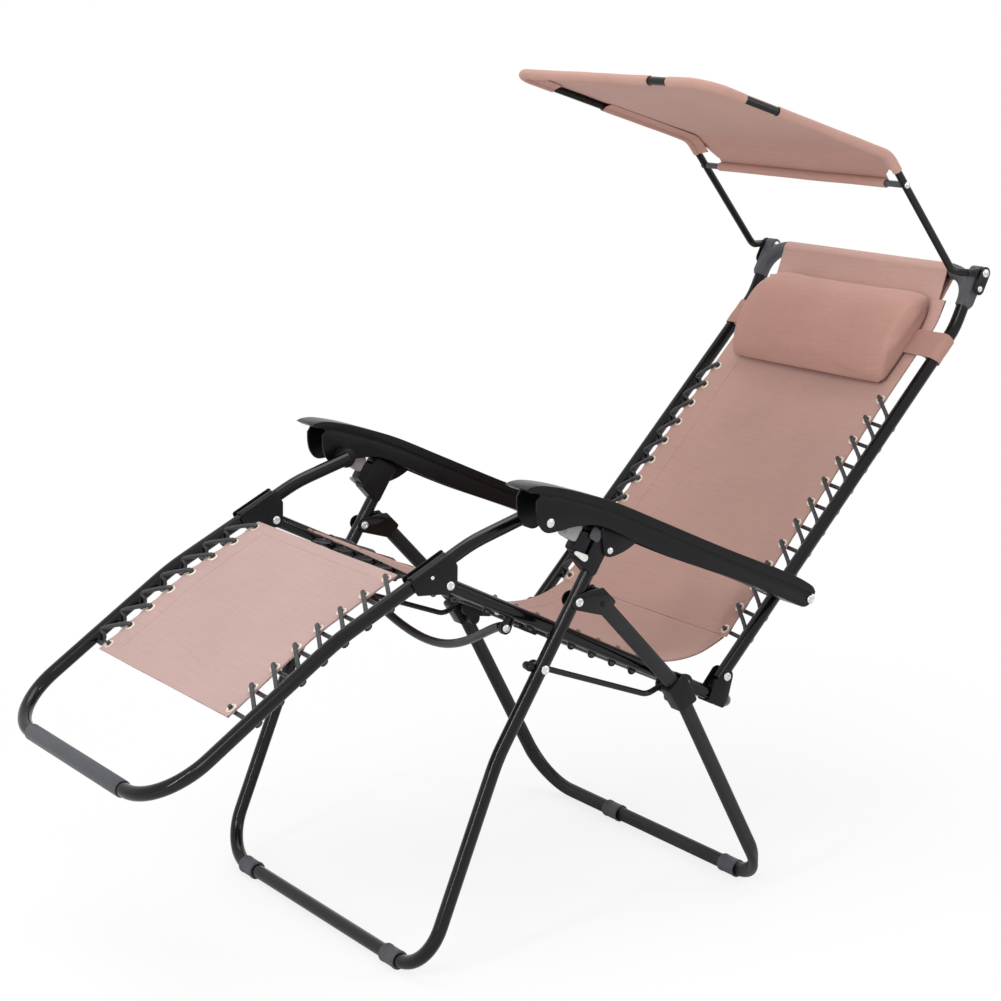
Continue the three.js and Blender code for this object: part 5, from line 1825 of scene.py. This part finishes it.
class Canopy(Part):
    """The swinging canopy: its bent tube, rear bar and stretched cover."""

    HALF = 0.262
    TUBE = 0.0065
    REACH = 407
    CORNER = 0.045
    BAR = 192

    def build(self) -> None:
        """Model the canopy."""
        self._frame()
        self._cover()

    def _frame(self) -> None:
        """Model the bent tube with its flattened eyes, and the rear bar."""
        half = [(CANOPY_START.at(20), 0.27835 + 0.0025), (KICK_FOOT, self.HALF), (CANOPY_TOP.origin, self.HALF),
                (CANOPY_TOP.at(self.REACH), self.HALF)]
        points = [*(spot(place, -y) for place, y in half), *(spot(place, y) for place, y in reversed(half))]
        radii = [0, 0.025, self.CORNER, self.CORNER]
        tube = swept(rounded_route(points, [*radii, *reversed(radii)], 5), self.TUBE, 8)
        eye = disc_outline([(CANOPY_PIVOT, 0.0079), (CANOPY_START.at(30), 0.0058)])
        eyes = [plate(eye, side.value * 0.2787, side.value * 0.2836, 0.0012, 3) for side in Side]
        self.add(joined([tube, *eyes], "canopy"), "canopy_tube", self.finishes.canopy_black, "canopy",
                 ["canopy_frame"], "bent_rod")
        bar = KICK.at(self.BAR)
        rod = turned_part(bar, both_ends([(0, 0), (0.0045, 0), (0.0054, 0.0007)], 0.2552), 36)
        self.add(rod, "canopy_bar", self.finishes.grey_plastic, "canopy", ["canopy_rear_bar"], "grey_plastic")
        for side in Side:
            head = round_head(bar, side.value * (self.HALF + 0.0064), side.value, 0.0058, 0.0026)
            self.bright(head, f"canopy_bar_head_{side.word}", "canopy")

    def _cover(self) -> None:
        """Model the cover: a roof, sleeves round the tube with openings, and the rear flap."""
        whole = self.add(joined([self._roof(), *self._sleeves(), self._flap()], "cover"), "canopy_cloth",
                         self.finishes.canopy_cloth, "canopy", ["canopy_cover"], "rose_cloth")

    def _roof_height(self, along: float, y: float) -> float:
        """How far the roof lies above the frame's plane, in metres."""
        belly = -0.0045 * (1 - (y / self.HALF) ** 2) * math.sin(math.pi * min(max(along, 0), 1))
        return 0.0068 + belly + 0.0006 * ripple(along * 0.45, y, 7.7)

    def _roof(self) -> bpy.types.Object:
        """Model the roof's sheet, over the tube's rear bend and forward to the front tube.

        Returns:
            The sheet.
        """
        line = [spot(p, 0) for p in (KICK.at(KICK_LENGTH - 14), CANOPY_TOP.origin, CANOPY_TOP.at(self.REACH))]
        fine = subdivided(rounded_route(line, [0, self.CORNER, 0], 4))
        rows = []
        for i, here in enumerate(fine):
            before, after = fine[max(i - 1, 0)], fine[min(i + 1, len(fine) - 1)]
            tangent = (after - before).normalized()
            up = Vector((-tangent.z, 0, tangent.x))
            up = up if up.z > 0 else -up
            along, half = i / (len(fine) - 1), self.HALF
            end = (fine[-1] - here).length
            if end < self.CORNER:
                half = self.HALF - self.CORNER + math.sqrt(max(self.CORNER ** 2 - (self.CORNER - end) ** 2, 0))
            across = [half * (2 * j / 80 - 1) for j in range(81)]
            rows.append([here + up * self._roof_height(along, y) + Vector((0, y, 0)) for y in across])
        return cloth_grid(rows, marked(rows, lengths_along(fine)), 0.0016)

    def _sleeves(self) -> list[bpy.types.Object]:
        """Model the hem sleeves: the sides and the front, each interrupted where the photograph shows tube.

        Returns:
            The sleeves.
        """
        near = [KICK.at(KICK_LENGTH - 34), CANOPY_TOP.origin, CANOPY_TOP.at(self.REACH)]
        route = subdivided(u_route(near, self.HALF, [0, self.CORNER, self.CORNER], 5))
        lengths = lengths_along(route)
        total = lengths[-1]
        pieces = []
        start = 0.0
        for low, high in ((0.29, 0.355), (0.515, 0.56), (total - 0.35, total - 0.245), (total, total)):
            part = [i for i, at in enumerate(lengths) if start <= at <= low]
            if len(part) > 3:
                pieces.append(self._sleeve(route, lengths, part))
            start = high
        return pieces

    @staticmethod
    def _sleeve(route: list[Vector], lengths: list[float], part: list[int]) -> bpy.types.Object:
        """Model one stretch of hem sleeve: a drop-shaped loop round the tube that closes inward.

        Args:
            route: The whole route.
            lengths: Its length at each station.
            part: The stations this sleeve covers.

        Returns:
            The sleeve.
        """
        middle = spot(CANOPY_TOP.at(200), 0)
        rows, marks = [], []
        for i in part:
            here = route[i]
            tangent = (route[min(i + 1, len(route) - 1)] - route[max(i - 1, 0)]).normalized()
            roof_up = Vector((CANOPY_TOP.along[1], 0, -CANOPY_TOP.along[0]))
            if here.z < CANOPY_TOP.origin[1] - 0.004:
                roof_up = Vector((-KICK.along[1], 0, KICK.along[0]))
                roof_up = roof_up if roof_up.x > 0 else -roof_up
            outward = tangent.cross(roof_up).normalized()
            if outward.dot(middle - here) > 0:
                outward = -outward
            up = outward.cross(tangent).normalized()
            up = up if up.dot(roof_up) > 0 else -up
            row = []
            for k in range(29):
                angle = math.radians(100 - 262 * k / 28)
                radius = 0.0078 + 0.0004 * ripple(lengths[i] * 1.3, k * 0.004, 9.0)
                row.append(here + outward * (math.cos(angle) * radius) + up * (math.sin(angle) * radius))
            inner = here - outward * 0.026 + up * 0.0042
            row += [row[-1].lerp(inner, share) for share in (0.25, 0.5, 0.75, 1.0)]
            rows.append(row)
            marks.append([(run, lengths[i]) for run in lengths_along(row)])
        return cloth_grid(rows, marks, 0.0014)

    def _flap(self) -> bpy.types.Object:
        """Model the rear flap down to the bar and its hem round the bar.

        Returns:
            The flap.
        """
        bar = KICK.at(self.BAR)
        ax, az = KICK.along
        nx, nz = (-az, ax) if az < 0 else (az, -ax)
        top, foot = KICK_LENGTH - 2, self.BAR + 4
        profile = []
        for i in range(14):
            share = i / 13
            x, z = KICK.at(top + (foot - top) * share)
            lift = 0.0079 + (0.0064 - 0.0079) * share + 0.0016 * math.sin(math.pi * share)
            profile.append((x + nx * lift, z + nz * lift))
        base = math.atan2(nz, nx)
        turn_way = 1 if math.sin(base) * ax - math.cos(base) * az > 0 else -1
        for i in range(24):
            angle = base + turn_way * math.radians(8 + 300 * i / 23)
            profile.append((bar[0] + 0.0071 * math.cos(angle), bar[1] + 0.0071 * math.sin(angle)))
        lengths = lengths_along(profile)
        tapers = [1 + 0.19 * max(0, 1 - i / 11) ** 0.8 for i in range(len(profile))]
        rows = [soft_row(here, (nx, nz), 0.218 * taper, 0.0006, length, 3.1)
                for here, taper, length in zip(profile, tapers, lengths)]
        return cloth_grid(rows, marked(rows, lengths), 0.0015)


PILLOW = [(0, 0.06), (0.03, 0.28), (0.14, 0.56), (0.3, 0.82), (0.48, 0.97), (0.64, 1.0), (0.79, 0.9),
          (0.91, 0.66), (0.98, 0.34), (1.0, 0.08), (0.9, 0.005), (0.75, 0.0), (0.5, 0.0), (0.25, 0.0), (0.08, 0.01)]


class Pillow(Part):
    """The padded head pillow and its two straps round the back's tubes."""

    HALF = 0.203
    SHIFT = 0.007

    def build(self) -> None:
        """Model the pillow and its straps."""
        self._cushion()
        for side in Side:
            self._strap(side)

    def _shape(self, grow: float) -> bpy.types.Object:
        """Model the pillow's closed outer form.

        Args:
            grow: How much the form is drawn in all round, in metres.

        Returns:
            The form.
        """
        loop = eased([*PILLOW, PILLOW[0]], 4)[:-1]
        rows = []
        count = 46
        for i in range(count + 1):
            share = -math.cos(math.pi * i / count)
            crown = 1 - 0.12 * share ** 2 - 0.1 * abs(share) ** 16
            row = []
            for run, lift in loop:
                drawn = 0.5 + (run - 0.5) * (1 - 0.1 * abs(share) ** 16)
                x, z = back_at(579 + 198 * drawn, 11 + 60 * lift * crown)
                row.append(Vector((x, (self.HALF - grow) * share - self.SHIFT, z)))
            rows.append(row)
        deselect()
        around = len(loop)
        bpy.ops.mesh.primitive_grid_add(x_subdivisions=around, y_subdivisions=count, size=1, location=(0, 0, 0))
        sheet = bpy.context.object
        closed = [[*row, row[0]] for row in rows]
        sheet.data.vertices.foreach_set("co", np.array([p for row in closed for p in row], float).ravel())
        sheet.data.update()
        with edited(sheet):
            bpy.ops.mesh.remove_doubles(threshold=0.00001)
            bpy.ops.mesh.select_all(action="DESELECT")
            bpy.ops.mesh.select_non_manifold(extend=False)
            bpy.ops.mesh.edge_face_add()
        return sheet

    def _cushion(self) -> None:
        """Model the pillow, puffed by a short cloth simulation, with its end seams."""
        form = self._shape(0.002)
        modify(form, "REMESH", mode="VOXEL", voxel_size=0.005, use_smooth_shade=True)
        self._puff(form, places_of(form))
        modify(form, "SMOOTH", iterations=1, factor=0.5)
        modify(form, "SUBSURF", levels=1, render_levels=1)
        tidy(form, 0.0000005)
        smooth(form, 180)
        self._map(form)
        self.add(form, "head_cushion", self.finishes.pillow_cloth, "head_pillow", ["pillow"], "rose_cloth")

    @staticmethod
    def _puff(form: bpy.types.Object, rest: np.ndarray) -> None:
        """Inflate the cushion a little with cloth, each place held near its start.

        Args:
            form: The cushion.
            rest: Its vertices before the simulation.
        """
        pick(form)
        made = form.modifiers.new("Cloth", "CLOTH")
        cloth = made.settings
        cloth.quality = 6
        cloth.mass = 0.15
        cloth.tension_stiffness = 12
        cloth.compression_stiffness = 12
        cloth.bending_stiffness = 0.8
        cloth.use_pressure = True
        cloth.uniform_pressure_force = 4
        cloth.effector_weights.gravity = 0
        made.collision_settings.use_self_collision = False
        scene = bpy.context.scene
        for step in range(1, 16):
            scene.frame_set(step)
        bpy.ops.object.modifier_apply(modifier=made.name)
        moved = places_of(form) - rest
        far = np.linalg.norm(moved, axis=1, keepdims=True)
        limit = 0.005
        kept = moved * np.minimum(1.0, limit / np.maximum(far, 1e-9))
        nx, nz = -BACK.along[1], BACK.along[0]
        height = (rest[:, 0] - BACK_PIVOT[0]) * nx + (rest[:, 2] - BACK_PIVOT[1]) * nz
        seat = np.clip((height - 0.011) / 0.012, 0, 1)[:, None]
        form.data.vertices.foreach_set("co", (rest + kept * seat).ravel())
        form.data.update()
        scene.frame_set(1)

    @staticmethod
    def _map(form: bpy.types.Object) -> None:
        """Lay the cushion's cloth out in metres, along it and round it.

        Args:
            form: The cushion.
        """
        places = places_of(form)
        x, z = back_at(592 + 93, 30)
        angle = np.arctan2(places[:, 2] - z, places[:, 0] - x)
        lay_out(form, np.stack([places[:, 1], -angle * 0.06], axis=1))

    def _strap(self, side: Side) -> None:
        """Model one cloth loop round a back tube, sewn to the pillow's end.

        Args:
            side: The lounger's side.
        """
        rows, marks = [], []
        outline: list[Place] = [(0.196, 0.0145), (0.215, 0.0132), (0.235, 0.0125), (0.25, 0.0124)]
        for i in range(41):
            angle = math.radians(92 - 290 * i / 40)
            outline.append((RAIL + 0.0124 * math.cos(angle), 0.0124 * math.sin(angle)))
        outline += [(0.2525, 0.0085), (0.2445, 0.0108)]
        lengths = lengths_along(outline)
        for i in range(17):
            run = 655 + 50 * i / 16
            row = []
            for k, (y, rise) in enumerate(outline):
                lean = 2.2 * math.sin(k * 0.21) * (i / 16 - 0.5)
                place = BACK.at(run + lean, rise * 1000 + 0.5 * ripple(run * MM * 4, y, 2.0))
                row.append(spot(place, side.value * y))
            rows.append(row)
            marks.append([(length, run * MM) for length in lengths])
        strap = self.add(cloth_grid(rows, marks, 0.0018), f"pillow_band_{side.word}", self.finishes.strap_cloth,
                         "head_pillow", [f"pillow_strap_{side.word}"], "rose_cloth")


class Studio:
    """The camera at the photograph's angle, the soft lights and the pale floor."""

    EYE = Vector((-2.1524, -3.148, 1.477))
    AIM = Vector((0.0336, 0.0, 0.777))

    def build(self) -> None:
        """Set the stage."""
        self._camera()
        self._lights()
        self._world()
        self._floor()

    def _camera(self) -> None:
        """Place the camera."""
        data = bpy.data.cameras.new("view")
        data.sensor_width = 36
        data.lens = 2380 / 1001 * 36
        data.shift_x = (500.5 - 527.9) / 1001
        data.shift_y = (414.6 - 500.5) / 1001
        camera = bpy.data.objects.new("view", data)
        camera.location = self.EYE
        camera.rotation_euler = (self.AIM - self.EYE).to_track_quat("-Z", "Y").to_euler()
        bpy.context.scene.collection.objects.link(camera)
        bpy.context.scene.camera = camera

    def _lights(self) -> None:
        """Add the soft boxes: a broad key, a narrow strip for the tubes and a low fill."""
        for name, place, size, power in (
                ("key", (-2.6, -2.4, 3.4), (1.6, 1.6), 40.0),
                ("strip", (-3.4, -1.2, 1.9), (0.14, 2.2), 42.0),
                ("side", (2.4, -2.8, 2.2), (0.16, 2.0), 26.0),
                ("top", (0.3, 0.2, 3.6), (2.2, 1.6), 38.0)):
            data = bpy.data.lights.new(name, "AREA")
            data.shape = "RECTANGLE"
            data.size, data.size_y = size
            data.energy = power
            lamp = bpy.data.objects.new(name, data)
            lamp.location = place
            lamp.rotation_euler = (Vector((0, 0, 0.6)) - Vector(place)).to_track_quat("-Z", "Y").to_euler()
            bpy.context.scene.collection.objects.link(lamp)

    @staticmethod
    def _world() -> None:
        """White to the camera and in mirrors, and a soft light elsewhere."""
        world = bpy.data.worlds.new("studio")
        world.use_nodes = True
        tree = world.node_tree
        tree.nodes.clear()
        path = tree.nodes.new("ShaderNodeLightPath")
        white = path.outputs["Is Camera Ray"]
        for ray in ("Is Transmission Ray", "Is Glossy Ray"):
            either = tree.nodes.new("ShaderNodeMath")
            either.operation = "MAXIMUM"
            tree.links.new(white, either.inputs[0])
            tree.links.new(path.outputs[ray], either.inputs[1])
            white = either.outputs[0]
        blend = tree.nodes.new("ShaderNodeMixShader")
        tree.links.new(white, blend.inputs[0])
        for socket, strength in ((1, 0.62), (2, 1.0)):
            light = tree.nodes.new("ShaderNodeBackground")
            light.inputs["Color"].default_value = (1, 1, 1, 1)
            light.inputs["Strength"].default_value = strength
            tree.links.new(light.outputs[0], blend.inputs[socket])
        end = tree.nodes.new("ShaderNodeOutputWorld")
        tree.links.new(blend.outputs[0], end.inputs["Surface"])
        bpy.context.scene.world = world
        bpy.context.scene.view_settings.view_transform = "Standard"

    @staticmethod
    def _floor() -> None:
        """Lay a plain pale floor that keeps the object's shadow."""
        deselect()
        bpy.ops.mesh.primitive_plane_add(size=14, location=(0, 0, -0.0005))
        floor = bpy.context.object
        floor.name = "floor"
        tree = Shade("floor")
        shader = tree.node("ShaderNodeBsdfPrincipled", {}, {"Base Color": rgb(250, 250, 250), "Roughness": 0.9})
        glow = tree.node("ShaderNodeEmission", {}, {"Color": (1, 1, 1, 1), "Strength": 1.0})
        path = tree.node("ShaderNodeLightPath", {}, {}, "Is Camera Ray")
        where = tree.points()
        x, y = tree.axis(where, "X"), tree.axis(where, "Y")
        fade = (x * x + y * y).clamp(0.6, 2.6) * 0.2 + 0.8
        tree.close(tree.node("ShaderNodeMixShader", {}, {0: path * fade, 1: shader, 2: glow}))
        floor.data.materials.append(tree.material)


def main() -> None:
    """Build the lounger's visible model and the stage."""
    logging.basicConfig(level=logging.INFO, format="%(message)s")
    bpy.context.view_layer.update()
    finishes = Finishes.build()
    for kind in (Legs, Linkage, Seat, LegRest, Back, Armrests, Locks, Sling, Canopy, Pillow):
        LOG.info("building %s", kind.__name__)
        kind(finishes).build()
    Studio().build()


if __name__ == "__main__":
    main()
